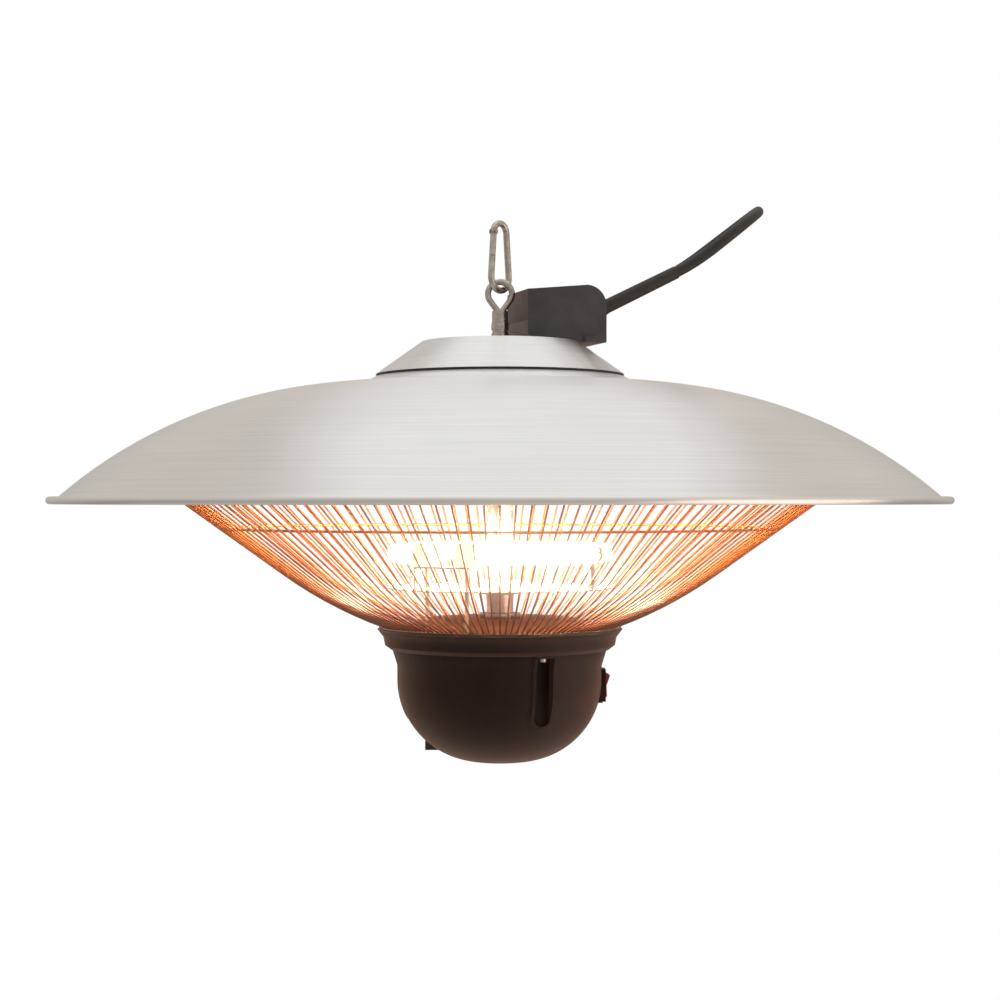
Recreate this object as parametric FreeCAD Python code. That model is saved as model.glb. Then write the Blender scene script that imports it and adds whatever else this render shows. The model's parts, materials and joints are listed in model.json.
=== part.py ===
import FreeCAD, Part
import math
import os

# Hanging electric patio heater with a halogen ring lamp, millimetres, Z up.
# The origin is the hanging point: the inside of the snap hook's upper bend.

Vector = FreeCAD.Vector
ORIGIN = Vector(0, 0, 0)
UP = Vector(0, 0, 1)
BACKWARD = Vector(0, 1, 0)
SIN_45 = math.sqrt(0.5)

# Fits shared by all pieces
HOLE_CLEARANCE = 0.15
WELD_GAP = 0.06
RUNNING_FIT = 0.05

# Snap hook
HOOK_LENGTH = 50.0
HOOK_WIRE = 4.4
HOOK_TOP_INSIDE = 9.0
HOOK_BOTTOM_INSIDE = 14.0
HOOK_TURN = 50.0
NOSE_LENGTH = 9.0
LAP_LENGTH = 4.0
GATE_CLEARANCE = 0.3
TONGUE = 1.8
TONGUE_CLEARANCE = 0.2
RIVET = 1.8
RIVET_HEAD = 3.0
RIVET_HEAD_HEIGHT = 0.4

# Eye bolt and its stack of nut, spring washer, nut and flat washer
EYE_HOLE = 12.1
EYE_WIRE = 4.2
EYE_TAPER = 36.0
EYE_HEIGHT = 32.8
LINK_CLEARANCE = 1.5
EYE_SHANK = 6.0
EYE_COLLAR = 10.9
EYE_NUT_FLATS = 10.3
EYE_NUT_HEIGHT = 5.0
EYE_WASHER = 12.5
EYE_WASHER_HEIGHT = 1.2
EYE_SPRING = 10.6
EYE_SPRING_HEIGHT = 2.0
EYE_SPRING_SPLIT = 1.0

# Top cap on its seal and its dished plate
CAP_HEIGHT = 29.1
CAP_TOP_RADIUS = 53.2
CAP_RADIUS = 84.5
CAP_HEM = 6.0
CAP_SHEET = 1.0
CAP_SEAL_HEIGHT = 1.6
CAP_SEAL_INSET = 0.8
CAP_PLATE_RADIUS = 92.8
CAP_PLATE_BORE = 70.0
CAP_PLATE_RISE = 5.2

# Shade
SHADE_DIAMETER = 600.0
SHADE_HEIGHT = 80.6
SHADE_FLAT_RADIUS = 92.0
SHADE_SHEET = 1.0
RIM_BEAD = 5.0
LIP_WIDTH = 4.5
LIP_RISE = 1.5

# Column that carries everything
COLUMN = 18.0
COLUMN_WALL = 1.5
COLUMN_NUT_FLATS = 24.0
COLUMN_NUT_HEIGHT = 4.0
COLUMN_TAIL = 2.0
PLUG_FLANGE = 22.0
PLUG_FLANGE_HEIGHT = 5.0
PLUG_SPIGOT = 5.0
WINDOW_LIFT = 1.0
WINDOW_HEIGHT = 8.0
WINDOW_WIDTH = 9.0

# Reflector
REFLECTOR_RISE = 46.0
REFLECTOR_FLAT_RADIUS = 28.0
FLANGE_MARGIN = 3.0
FLANGE_LIFT = 5.0
REFLECTOR_SHEET = 0.8

# Grille
GRILLE_WIRE_COUNT = 144
GRILLE_WIRE = 1.2
TOP_RING_RADIUS = 213.5
TOP_RING_WIDTH = 12.0
TOP_RING_HEIGHT = 2.0
GRILLE_TOP_OFFSET = 1.0
GRILLE_KNEE_RADIUS = 146.0
GRILLE_SLOPE = 35.8
GRILLE_END_SLOPE = 18.0
HOOP_RADIUS = 186.2
HOOP_WIRE = 1.6
BOTTOM_RING_WIDTH = 4.0
BOTTOM_RING_HEIGHT = 1.5
GRILLE_SCREW_COUNT = 6
GRILLE_SCREW = 4.0
GRILLE_SCREW_HEAD = 7.0
GRILLE_SCREW_HEAD_HEIGHT = 2.6

# Ring lamp and what holds it
LAMP_DROP = 33.0
LAMP_INSET = 6.0
LAMP_TUBE = 12.0
LAMP_GLASS = 1.0
LAMP_GAP_TURN = 240.0
LAMP_GAP = 36.0
FILAMENT = 3.0
END_CAP = 15.0
END_CAP_LENGTH = 14.0
LEAD = 2.6
LEAD_TAIL = 14.0
SADDLE_DEPTH = 10.0
SADDLE_SHEET = 1.2
CLIP_SHEET = 1.0
CLIP_WIDTH = 6.0
CLIP_TURNS = (330.0, 60.0, 150.0)

# Lower plate
PLATE_DROP = 56.0
PLATE_MARGIN = 1.0
PLATE_SHEET = 1.0

# Bowl cover and its collar
COVER_DROP = 77.5
COVER_TOP_RADIUS = 51.0
COVER_LEDGE = 6.0
COVER_LEDGE_DROP = 84.5
COLLAR_WAIST_FLARE = 1.0
COLLAR_WAIST_DROP = 89.6
COLLAR_FLARE = 3.7
COLLAR_STEP_DROP = 95.0
COLLAR_FOOT_FLARE = 1.8
COLLAR_FOOT_DROP = 97.8
COVER_WALL = 2.5

# Bowl
BOWL_DROP = 173.8
BOWL_RADIUS = 69.0
BOWL_RIM_FLARE = 3.5
BOWL_SHOULDER_DROP = 109.0
BOWL_BEND = 55.3
BOWL_WALL = 2.5
BOWL_SCREW_COUNT = 3
BOWL_SCREW_TURN = -65.4
BOWL_SCREW_INSET = 4.0
POCKET_WIDTH = 12.0
POCKET_WALL = 2.6
POCKET_RIM = 0.6
POCKET_CEILING = 1.8
POCKET_DEPTH = 47.5
BOWL_SCREW = 4.0
BOWL_SCREW_HEAD = 7.0
BOWL_SCREW_HEAD_HEIGHT = 2.4
BOSS = 7.0

# Rocker switch
SWITCH_DROP = 122.5
SWITCH_PAD_PROUD = 0.2
SWITCH_PAD_WIDTH = 18.5
SWITCH_PAD_HEIGHT = 23.0
BEZEL_HEIGHT = 21.6
BEZEL_WIDTH = 17.0
BEZEL = 2.2
SWITCH_BODY_HEIGHT = 19.4
SWITCH_BODY_WIDTH = 14.6
SWITCH_BODY_DEPTH = 16.0
ROCKER_LENGTH = 16.8
ROCKER_WIDTH = 10.4
ROCKER_CLEARANCE = 0.35
ROCKER_SINK = 2.2
ROCKER_CREST = 4.3
ROCKER_VALLEY = 2.9
ROCKER_TILT = 8.0
TRUNNION = 3.0
TRUNNION_LENGTH = 1.3
TERMINAL_HEIGHT = 4.8
TERMINAL_SHEET = 0.8
TERMINAL_LENGTH = 8.0
TERMINAL_SPACING = 6.0
SWITCH_WIRE = 2.0
SWITCH_WIRE_BEND = 3.0

# Receiver window
RECEIVER_INSET = 18.4
RECEIVER_LENGTH = 12.0
RECEIVER_WIDTH = 12.0
RECEIVER_LIFT = 7.6
RECEIVER_HEIGHT = 13.0

# Control board
BOARD_DROP = 112.0
BOARD_MARGIN = 23.0
BOARD = 1.6
STANDOFF_COUNT = 3
STANDOFF_CIRCLE = 32.0
STANDOFF_FLATS = 6.0
BOARD_SCREW = 3.0
BOARD_SCREW_HEAD = 5.6
BOARD_SCREW_HEAD_HEIGHT = 2.2
BOARD_SCREW_LENGTH = 6.0
RELAY_LENGTH = 20.0
RELAY_WIDTH = 15.0
RELAY_HEIGHT = 16.0
RELAY_OFFSET = 16.0

# Terminal box on the cap
BOX_TURN = 18.0
BOX_NEAR = 12.5
BOX_LENGTH = 56.5
BOX_WIDTH = 44.0
BOX_NEAR_HEIGHT = 34.6
BOX_FAR_HEIGHT = 38.7
BOX_ROUND = 14.0
BOX_SPLIT = 14.0
BOX_WALL = 2.0
BOX_LUG = 8.0
BOX_LUG_NEAR_INSET = 4.0
BOX_LUG_FAR_INSET = 12.0
BOX_LUG_REACH = 2.5
BOX_LUG_HEIGHT = 4.0
LID_SCREW = 3.0
LID_SCREW_HEAD = 5.6
LID_SCREW_HEAD_HEIGHT = 2.0
LID_SCREW_SEAT = 29.0
LID_POST = 9.0
LID_POST_INSET = 6.0
MOUNT_SCREW = 4.0
MOUNT_SCREW_HEAD = 8.0
MOUNT_SCREW_HEAD_HEIGHT = 2.6
MOUNT_NUT_FLATS = 7.0
MOUNT_NUT_HEIGHT = 3.2
MOUNT_SCREW_PLACES = ((46.0, -14.0), (22.0, 14.0))
BLOCK_LENGTH = 26.0
BLOCK_WIDTH = 15.0
BLOCK_HEIGHT = 13.0
BLOCK_PLACE = (41.0, 4.0)
BLOCK_WAYS = 3
BLOCK_HOLE = 4.0
CABLE = 4.8
CABLE_REACH = 31.0
CABLE_RISE = 9.0
CABLE_OUTER_BEND = 8.0
CABLE_INNER_BEND = 7.0
GROMMET = 11.0
GROMMET_WAIST = 8.0
GROMMET_LIP = 1.5

# Cord, its gland and boot, coil and plug
CORD = 7.8
CORD_EXIT_HEIGHT = 22.6
CORD_RISE = 26.2
GLAND = 12.0
GLAND_INSIDE = 6.0
GLAND_OUTSIDE = 3.5
BOOT_LENGTH = 64.5
BOOT_START = 9.8
BOOT_END = 9.0
LEAD_START_RUN = 16.0
LEAD_PLACES = (
    (167.0, 44.5, 193.0), (187.5, 71.5, 211.0), (186.0, 109.5, 212.5), (164.0, 136.5, 197.0),
    (135.5, 137.0, 175.5), (105.5, 140.0, 160.5), (79.5, 136.0, 147.5), (54.0, 122.0, 122.0),
    (35.0, 114.5, 100.0))
LEAD_END_RUN = 20.0
BEND_SHARE = 0.45
COIL_PITCH = 8.4
COIL_OUTER_RADIUS = 55.0
COIL_HALF_TURNS = 9
COIL_PLACE = (-22.0, 156.0)
COIL_LIFT = 1.9
COIL_START = -0.99
COIL_STEP = 0.5
TAIL_RUN = 26.0
TIE_WIDTH = 6.0
TIE = 1.2
TIE_CLEARANCE = 0.25
TIE_TURN = 112.0
PLUG_FACE = 37.0
PLUG_FACE_LENGTH = 14.0
PLUG_NECK = 22.0
PLUG_NECK_LENGTH = 26.0
PLUG_SHOULDER = 6.0
PLUG_BOOT = 12.0
PLUG_BOOT_LENGTH = 16.0
PLUG_PIN = 4.8
PLUG_PIN_LENGTH = 19.0
PLUG_PIN_SPACING = 19.0
PLUG_RADIUS_ON_SHADE = 220.0
PLUG_AZIMUTH = 64.0
PLUG_YAW = 14.0
PLUG_LIFT = 0.3

# Heights that follow from the hanging point downwards, and radii that follow from others
PIVOT_Z = -(HOOK_LENGTH - 2 * HOOK_WIRE) - HOOK_WIRE / 2
EYE_Z = PIVOT_Z - (EYE_HOLE / 2 - HOOK_WIRE / 2 - LINK_CLEARANCE)
CAP_TOP = EYE_Z - EYE_HEIGHT
CAP_UNDER = CAP_TOP - CAP_SHEET
SHADE_TOP = CAP_TOP - CAP_HEIGHT
CAP_PLATE_TOP = SHADE_TOP + CAP_PLATE_RISE
CAP_FOOT = CAP_PLATE_TOP + CAP_SEAL_HEIGHT
RIM = SHADE_TOP - SHADE_HEIGHT
FLANGE_Z = RIM + FLANGE_LIFT
REFLECTOR_TOP = FLANGE_Z + REFLECTOR_SHEET + REFLECTOR_RISE
LAMP_Z = RIM - LAMP_DROP
PLATE_TOP = RIM - PLATE_DROP
PLATE_UNDER = PLATE_TOP - PLATE_SHEET
COVER_TOP = RIM - COVER_DROP
COVER_UNDER = COVER_TOP - COVER_WALL
LEDGE_Z = RIM - COVER_LEDGE_DROP
COLLAR_FOOT = RIM - COLLAR_FOOT_DROP
BOWL_BOTTOM = RIM - BOWL_DROP
BOARD_TOP = RIM - BOARD_DROP
SWITCH_Z = RIM - SWITCH_DROP
COLUMN_TOP = CAP_UNDER - PLUG_FLANGE_HEIGHT
COLUMN_BOTTOM = COVER_UNDER - COLUMN_NUT_HEIGHT - COLUMN_TAIL
COLUMN_HOLE = COLUMN / 2 + HOLE_CLEARANCE
FLANGE_RADIUS = TOP_RING_RADIUS + TOP_RING_WIDTH / 2 + FLANGE_MARGIN
REFLECTOR_RADIUS = TOP_RING_RADIUS - TOP_RING_WIDTH / 2 - FLANGE_MARGIN
GRILLE_TOP_RADIUS = TOP_RING_RADIUS + GRILLE_TOP_OFFSET
BOWL_RIM_RADIUS = BOWL_RADIUS + BOWL_RIM_FLARE
BOWL_SCREW_CIRCLE = BOWL_RADIUS - BOWL_SCREW_INSET
SWITCH_PAD_FACE = BOWL_RADIUS + SWITCH_PAD_PROUD
RECEIVER_REACH = BOWL_RADIUS - RECEIVER_INSET
BOARD_RADIUS = BOWL_RADIUS - BOARD_MARGIN
COLLAR_FOOT_RADIUS = BOWL_RIM_RADIUS + COLLAR_FOOT_FLARE
COLLAR_RADIUS = COLLAR_FOOT_RADIUS + COLLAR_FLARE
COLLAR_WAIST_RADIUS = COLLAR_RADIUS + COLLAR_WAIST_FLARE
COVER_LEDGE_RADIUS = COLLAR_RADIUS - COLLAR_WAIST_FLARE
COVER_RADIUS = COVER_LEDGE_RADIUS + COVER_LEDGE
PLATE_RADIUS = COVER_LEDGE_RADIUS - PLATE_MARGIN
LAMP_RADIUS = PLATE_RADIUS - LAMP_INSET
GRILLE_END_RADIUS = COVER_LEDGE_RADIUS + COVER_LEDGE / 2
WINDOW_Z = SHADE_TOP + COLUMN_NUT_HEIGHT + WINDOW_LIFT
BEAD_RADIUS = SHADE_DIAMETER / 2 - RIM_BEAD / 2
BEAD_Z = RIM + RIM_BEAD / 2
LIP_RADIUS = BEAD_RADIUS - LIP_WIDTH
LIP_Z = BEAD_Z + LIP_RISE


# Building blocks

def cylinder(radius, height, x=0.0, y=0.0, z=0.0, axis=UP):
    return Part.makeCylinder(radius, height, Vector(x, y, z), axis)


def block(size_x, size_y, size_z, x, y, z):
    """Box centred on x and y that stands on z."""
    return Part.makeBox(size_x, size_y, size_z, Vector(x - size_x / 2, y - size_y / 2, z))


def washer(outer, inner, height, z):
    return cylinder(outer, height, z=z).cut(cylinder(inner, height, z=z))


def turned(shape, degrees):
    copy = shape.copy()
    copy.rotate(ORIGIN, UP, degrees)
    return copy


def around(shape, count, start=0.0):
    """Copies of a shape spread evenly about the axis."""
    return [turned(shape, start + 360.0 * number / count) for number in range(count)]


def line(start, end):
    return Part.LineSegment(start, end).toShape()


def hexagon(flats, height, x, y, z):
    corner = Vector(flats / math.sqrt(3.0), 0, 0)
    points = [Vector(x, y, z) + FreeCAD.Rotation(UP, 60 * number).multVec(corner) for number in range(7)]
    return Part.Face(Part.makePolygon(points)).extrude(UP * height)


def nut(flats, height, bore, x, y, z):
    return hexagon(flats, height, x, y, z).cut(cylinder(bore / 2, height, x, y, z))


def headed(shank, shank_low, shank_high, head, head_low, head_high, x, y):
    """Upright screw from its two diameters and their lower and upper ends."""
    pin = cylinder(shank / 2, shank_high - shank_low, x, y, shank_low)
    return pin.fuse(cylinder(head / 2, head_high - head_low, x, y, head_low)).removeSplitter()


def revolved(steps, degrees=360.0):
    """Solid turned about the axis from (radius, height) steps; a pair of points is an arc."""
    here = Vector(steps[0][0], 0, steps[0][1])
    first = here
    edges = []
    for step in steps[1:]:
        if isinstance(step[0], tuple):
            through, end = [Vector(radius, 0, height) for radius, height in step]
            edges.append(Part.Arc(here, through, end).toShape())
        else:
            end = Vector(step[0], 0, step[1])
            edges.append(line(here, end))
        here = end
    edges.append(line(here, first))
    return Part.Face(Part.Wire(edges)).revolve(ORIGIN, UP, degrees)


def dome_bend(flat, top, end_radius, end_height):
    """Radius of the arc that leaves the flat top level and passes through the end."""
    reach = end_radius - flat
    drop = top - end_height
    return (reach * reach + drop * drop) / (2 * drop)


def dome(hole, flat, top, end_radius, end_height, sheet):
    """Sheet dome: a flat top with a hole, then an arc down to its end."""
    bend = dome_bend(flat, top, end_radius, end_height)
    sweep = math.asin((end_radius - flat) / bend)

    def on_arc(radius, angle):
        return (flat + radius * math.sin(angle), top - bend + radius * math.cos(angle))

    inner = bend - sheet
    return revolved([
        (hole, top), (flat, top), (on_arc(bend, sweep / 2), on_arc(bend, sweep)),
        on_arc(inner, sweep), (on_arc(inner, sweep / 2), (flat, top - sheet)), (hole, top - sheet)])


def arc_from(start, tangent, end):
    """Circular arc that leaves the start along a tangent and ends at the end."""
    chord = end - start
    along = chord * (1.0 / chord.Length)
    side = tangent - along * tangent.dot(along)
    half_angle = math.atan2(side.Length, tangent.dot(along))
    side.normalize()
    middle = (start + end) * 0.5 + side * (chord.Length / 2 * math.tan(half_angle / 2))
    return Part.Arc(start, middle, end).toShape()


def pipe(edges, radius):
    """Round tube of one radius along edges that follow each other smoothly."""
    first = edges[0]
    start = first.valueAt(first.FirstParameter)
    tangent = first.tangentAt(first.FirstParameter)
    ring = Part.Wire(Part.Circle(start, tangent, radius).toShape())
    return Part.Wire(edges).makePipeShell([ring], True, False)


def rounded_route(points, name):
    """Straight runs joined by the largest tangent arcs, with the radii printed."""
    edges = []
    radii = []
    here = points[0]
    for before, corner, after in zip(points, points[1:], points[2:]):
        arriving = corner - before
        leaving = after - corner
        shorter = min(arriving.Length, leaving.Length)
        half_turn = arriving.getAngle(leaving) / 2
        radii.append(round(BEND_SHARE * shorter / math.tan(half_turn), 1))
        arriving.normalize()
        leaving.normalize()
        start = corner - arriving * (BEND_SHARE * shorter)
        end = corner + leaving * (BEND_SHARE * shorter)
        edges.append(line(here, start))
        edges.append(arc_from(start, arriving, end))
        here = end
    edges.append(line(here, points[-1]))
    print(name, "bend radii", radii)
    return edges


def report_tube(name, tube, edges, radius):
    """Prints the tube's length and its volume against that of a plain tube of that length."""
    length = sum(edge.Length for edge in edges)
    ratio = tube.Volume / (math.pi * radius ** 2 * length)
    print(name, "length", round(length, 1), "volume ratio", round(ratio, 4))


def export(name, shapes):
    pieces = shapes if isinstance(shapes, list) else [shapes]
    solids = [solid for piece in pieces for solid in piece.Solids]
    shape = solids[0] if len(solids) == 1 else Part.makeCompound(solids)
    if not shape.isValid():
        print("not valid:", name)
    shape.exportStep("parts/" + name + ".step")


# Snap hook, drawn in the plane of X and Z and then turned

HOOK_TOP_BEND = (HOOK_TOP_INSIDE + HOOK_WIRE) / 2
HOOK_BOTTOM_BEND = (HOOK_BOTTOM_INSIDE + HOOK_WIRE) / 2
TOP_CENTRE = Vector(0, 0, HOOK_WIRE / 2 - HOOK_TOP_BEND)
BOTTOM_CENTRE = Vector(0, 0, PIVOT_Z + HOOK_BOTTOM_BEND)
HOOK_LEAN = math.asin((HOOK_BOTTOM_BEND - HOOK_TOP_BEND) / (TOP_CENTRE.z - BOTTOM_CENTRE.z))
SPINE_SIDE = Vector(math.cos(HOOK_LEAN), 0, math.sin(HOOK_LEAN))
GATE_SIDE = Vector(-SPINE_SIDE.x, 0, SPINE_SIDE.z)
HINGE = TOP_CENTRE + GATE_SIDE * HOOK_TOP_BEND
NOSE_START = BOTTOM_CENTRE + GATE_SIDE * HOOK_BOTTOM_BEND
GATE_LINE = (HINGE - NOSE_START).normalize()
GATE_INWARD = GATE_SIDE * -1.0
NOSE = NOSE_START + GATE_LINE * NOSE_LENGTH


def hinge_drum(radius, thickness):
    return cylinder(radius, thickness, HINGE.x, -thickness / 2, HINGE.z, BACKWARD)


def lap_block(low, high, inner, outer):
    """Box along the gate's line, from low to high above the nose and inner to outer across it."""
    slab = Part.makeBox(outer - inner, 2 * HOOK_WIRE, high - low, Vector(inner, -HOOK_WIRE, low))
    slab.rotate(ORIGIN, BACKWARD, math.degrees(HOOK_LEAN))
    slab.translate(NOSE)
    return slab


def snap_hook_body():
    spine_top = TOP_CENTRE + SPINE_SIDE * HOOK_TOP_BEND
    spine_bottom = BOTTOM_CENTRE + SPINE_SIDE * HOOK_BOTTOM_BEND
    edges = [
        Part.Arc(HINGE, TOP_CENTRE + UP * HOOK_TOP_BEND, spine_top).toShape(),
        line(spine_top, spine_bottom),
        Part.Arc(spine_bottom, BOTTOM_CENTRE - UP * HOOK_BOTTOM_BEND, NOSE_START).toShape(),
        line(NOSE_START, NOSE + GATE_LINE * LAP_LENGTH)]
    wire = pipe(edges, HOOK_WIRE / 2)
    wire = wire.cut(lap_block(0.0, 2 * LAP_LENGTH, -GATE_CLEARANCE / 2, HOOK_WIRE))
    shoulder = HOOK_WIRE / 2 + GATE_CLEARANCE
    tongue_slab = block(4 * HOOK_WIRE, TONGUE, 4 * HOOK_WIRE, HINGE.x, 0, HINGE.z - 2 * HOOK_WIRE)
    knuckle = hinge_drum(HOOK_WIRE / 2 - GATE_CLEARANCE, HOOK_WIRE)
    neck = wire.common(hinge_drum(2 * shoulder, 2 * HOOK_WIRE))
    tongue = neck.fuse(knuckle).common(tongue_slab)
    body = wire.cut(hinge_drum(shoulder, 2 * HOOK_WIRE)).fuse(tongue).removeSplitter()
    return turned(body.cut(hinge_drum(RIVET / 2 + RUNNING_FIT, 2 * HOOK_WIRE)), HOOK_TURN)


def snap_hook_gate():
    low_end = NOSE + GATE_LINE * GATE_CLEARANCE
    bar = pipe([line(HINGE, low_end)], HOOK_WIRE / 2)
    bar = bar.cut(lap_block(-LAP_LENGTH, LAP_LENGTH + GATE_CLEARANCE, -HOOK_WIRE, GATE_CLEARANCE / 2))
    gate = bar.fuse(hinge_drum(HOOK_WIRE / 2, HOOK_WIRE)).removeSplitter()
    slot = hinge_drum(HOOK_WIRE / 2 + GATE_CLEARANCE, TONGUE + 2 * TONGUE_CLEARANCE)
    gate = gate.cut(slot)
    return turned(gate.cut(hinge_drum(RIVET / 2 + RUNNING_FIT, 2 * HOOK_WIRE)), HOOK_TURN)


def gate_rivet():
    length = HOOK_WIRE + 2 * TONGUE_CLEARANCE
    head_span = length + 2 * RIVET_HEAD_HEIGHT
    heads = hinge_drum(RIVET_HEAD / 2, head_span).cut(hinge_drum(RIVET_HEAD, length))
    return turned(hinge_drum(RIVET / 2, length).fuse(heads).removeSplitter(), HOOK_TURN)


# Eye bolt and its fasteners

def eye_stack_top():
    return CAP_TOP + EYE_WASHER_HEIGHT + 2 * EYE_NUT_HEIGHT + EYE_SPRING_HEIGHT


def eye_bolt():
    """Drop-shaped eye of bent wire on a collar and a threaded shank."""
    bend = (EYE_HOLE + EYE_WIRE) / 2
    taper = math.radians(EYE_TAPER)
    middle = Vector(0, 0, EYE_Z)
    side = Vector(bend * math.cos(taper), 0, -bend * math.sin(taper))
    other_side = Vector(-side.x, 0, side.z)
    point = middle - UP * (bend / math.sin(taper))
    collar_top = point.z + EYE_WIRE / 2
    arch = pipe([Part.Arc(middle + side, middle + UP * bend, middle + other_side).toShape()], EYE_WIRE / 2)
    legs = [pipe([line(middle + end, point)], EYE_WIRE / 2) for end in (side, other_side)]
    collar = cylinder(EYE_COLLAR / 2, collar_top - eye_stack_top(), z=eye_stack_top())
    shank_bottom = COLUMN_TOP - PLUG_SPIGOT
    shank = cylinder(EYE_SHANK / 2, collar_top - shank_bottom, z=shank_bottom)
    return arch.fuse(legs + [collar, shank]).removeSplitter()


def eye_flat_washer():
    return washer(EYE_WASHER / 2, EYE_SHANK / 2 + HOLE_CLEARANCE, EYE_WASHER_HEIGHT, CAP_TOP)


def eye_nuts():
    low = CAP_TOP + EYE_WASHER_HEIGHT
    high = low + EYE_NUT_HEIGHT + EYE_SPRING_HEIGHT
    bore = EYE_SHANK + 2 * RUNNING_FIT
    return [nut(EYE_NUT_FLATS, EYE_NUT_HEIGHT, bore, 0, 0, z) for z in (low, high)]


def eye_spring_washer():
    z = CAP_TOP + EYE_WASHER_HEIGHT + EYE_NUT_HEIGHT
    ring = washer(EYE_SPRING / 2, EYE_SHANK / 2 + HOLE_CLEARANCE, EYE_SPRING_HEIGHT, z)
    return ring.cut(block(EYE_SPRING, EYE_SPRING_SPLIT, EYE_SPRING_HEIGHT, EYE_SPRING / 2, 0, z))


# Cap with its seal and plate, shade, column and reflector

def top_cap():
    """Sheet cone with a flat top and a hem turned in at its foot."""
    bore = EYE_SHANK / 2 + HOLE_CLEARANCE
    hem = CAP_FOOT + CAP_SHEET
    shell = revolved([
        (bore, CAP_TOP), (CAP_TOP_RADIUS, CAP_TOP), (CAP_RADIUS, CAP_FOOT),
        (CAP_RADIUS - CAP_HEM, CAP_FOOT), (CAP_RADIUS - CAP_HEM, hem), (CAP_RADIUS - 3 * CAP_SHEET, hem),
        (CAP_TOP_RADIUS - CAP_SHEET / 2, CAP_UNDER), (bore, CAP_UNDER)])
    for place in MOUNT_SCREW_PLACES:
        hole = cylinder(MOUNT_SCREW / 2 + HOLE_CLEARANCE, CAP_SHEET, *place, CAP_UNDER)
        shell = shell.cut(turned(hole, BOX_TURN))
    return shell.cut(cylinder(GROMMET_WAIST / 2 + HOLE_CLEARANCE, CAP_SHEET, CABLE_REACH, 0, CAP_UNDER))


def cap_seal():
    return washer(CAP_RADIUS - CAP_SEAL_INSET, CAP_RADIUS - CAP_HEM, CAP_SEAL_HEIGHT, CAP_PLATE_TOP)


def cap_plate():
    """Dished ring that lies on the shade and carries the cap's seal."""
    return revolved([
        (CAP_PLATE_BORE, CAP_PLATE_TOP), (CAP_RADIUS, CAP_PLATE_TOP),
        (CAP_PLATE_RADIUS - CAP_SHEET / 2, SHADE_TOP + CAP_SHEET), (CAP_PLATE_RADIUS, SHADE_TOP),
        (CAP_PLATE_RADIUS - 2 * CAP_SHEET, SHADE_TOP),
        (CAP_RADIUS - CAP_SHEET / 2, CAP_PLATE_TOP - CAP_SHEET),
        (CAP_PLATE_BORE, CAP_PLATE_TOP - CAP_SHEET)])


def shade():
    """Dome that ends in a narrow sloping lip with a rolled bead."""
    sheet = dome(COLUMN_HOLE, SHADE_FLAT_RADIUS, SHADE_TOP, LIP_RADIUS, LIP_Z, SHADE_SHEET)
    outer, outward = on_shade(LIP_RADIUS, 0.0)
    inner = outer - outward * SHADE_SHEET
    lip = revolved([(outer.x, outer.z), (BEAD_RADIUS, BEAD_Z + SHADE_SHEET / 2),
                    (BEAD_RADIUS, BEAD_Z - SHADE_SHEET / 2), (inner.x, inner.z)])
    bead = Part.makeTorus(BEAD_RADIUS, RIM_BEAD / 2, Vector(0, 0, BEAD_Z), UP)
    return sheet.fuse([lip, bead]).removeSplitter()


def column_tube():
    tube = washer(COLUMN / 2, COLUMN / 2 - COLUMN_WALL, COLUMN_TOP - COLUMN_BOTTOM, COLUMN_BOTTOM)
    return tube.cut(block(COLUMN, WINDOW_WIDTH, WINDOW_HEIGHT, COLUMN / 2, 0, WINDOW_Z))


def column_plug():
    spigot_radius = COLUMN / 2 - COLUMN_WALL - RUNNING_FIT
    spigot = cylinder(spigot_radius, PLUG_SPIGOT, z=COLUMN_TOP - PLUG_SPIGOT)
    plug = spigot.fuse(cylinder(PLUG_FLANGE / 2, PLUG_FLANGE_HEIGHT, z=COLUMN_TOP)).removeSplitter()
    bore_length = PLUG_SPIGOT + PLUG_FLANGE_HEIGHT
    return plug.cut(cylinder(EYE_SHANK / 2 + RUNNING_FIT, bore_length, z=COLUMN_TOP - PLUG_SPIGOT))


def column_nuts():
    under = [SHADE_TOP - SHADE_SHEET, REFLECTOR_TOP - REFLECTOR_SHEET, PLATE_UNDER, COVER_UNDER]
    seats = [SHADE_TOP, REFLECTOR_TOP, PLATE_TOP, COVER_TOP] + [z - COLUMN_NUT_HEIGHT for z in under]
    return [nut(COLUMN_NUT_FLATS, COLUMN_NUT_HEIGHT, COLUMN + 2 * RUNNING_FIT, 0, 0, z) for z in seats]


def grille_screw_turn():
    """Screws stand half a wire spacing aside, between two wires."""
    return 180.0 / GRILLE_WIRE_COUNT


def reflector():
    flange_top = FLANGE_Z + REFLECTOR_SHEET
    dish = dome(COLUMN_HOLE, REFLECTOR_FLAT_RADIUS, REFLECTOR_TOP,
                REFLECTOR_RADIUS, flange_top, REFLECTOR_SHEET)
    flange = washer(FLANGE_RADIUS, REFLECTOR_RADIUS - 2 * REFLECTOR_SHEET, REFLECTOR_SHEET, FLANGE_Z)
    dish = dish.fuse(flange)
    holes = cylinder(GRILLE_SCREW / 2 + HOLE_CLEARANCE, REFLECTOR_SHEET, TOP_RING_RADIUS, 0, FLANGE_Z)
    return dish.removeSplitter().cut(around(holes, GRILLE_SCREW_COUNT, grille_screw_turn()))


# Grille

def grille_top_ring():
    z = FLANGE_Z - TOP_RING_HEIGHT
    half = TOP_RING_WIDTH / 2
    ring = washer(TOP_RING_RADIUS + half, TOP_RING_RADIUS - half, TOP_RING_HEIGHT, z)
    hole = cylinder(GRILLE_SCREW / 2 + HOLE_CLEARANCE, TOP_RING_HEIGHT, TOP_RING_RADIUS, 0, z)
    return ring.cut(around(hole, GRILLE_SCREW_COUNT, grille_screw_turn()))


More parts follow.
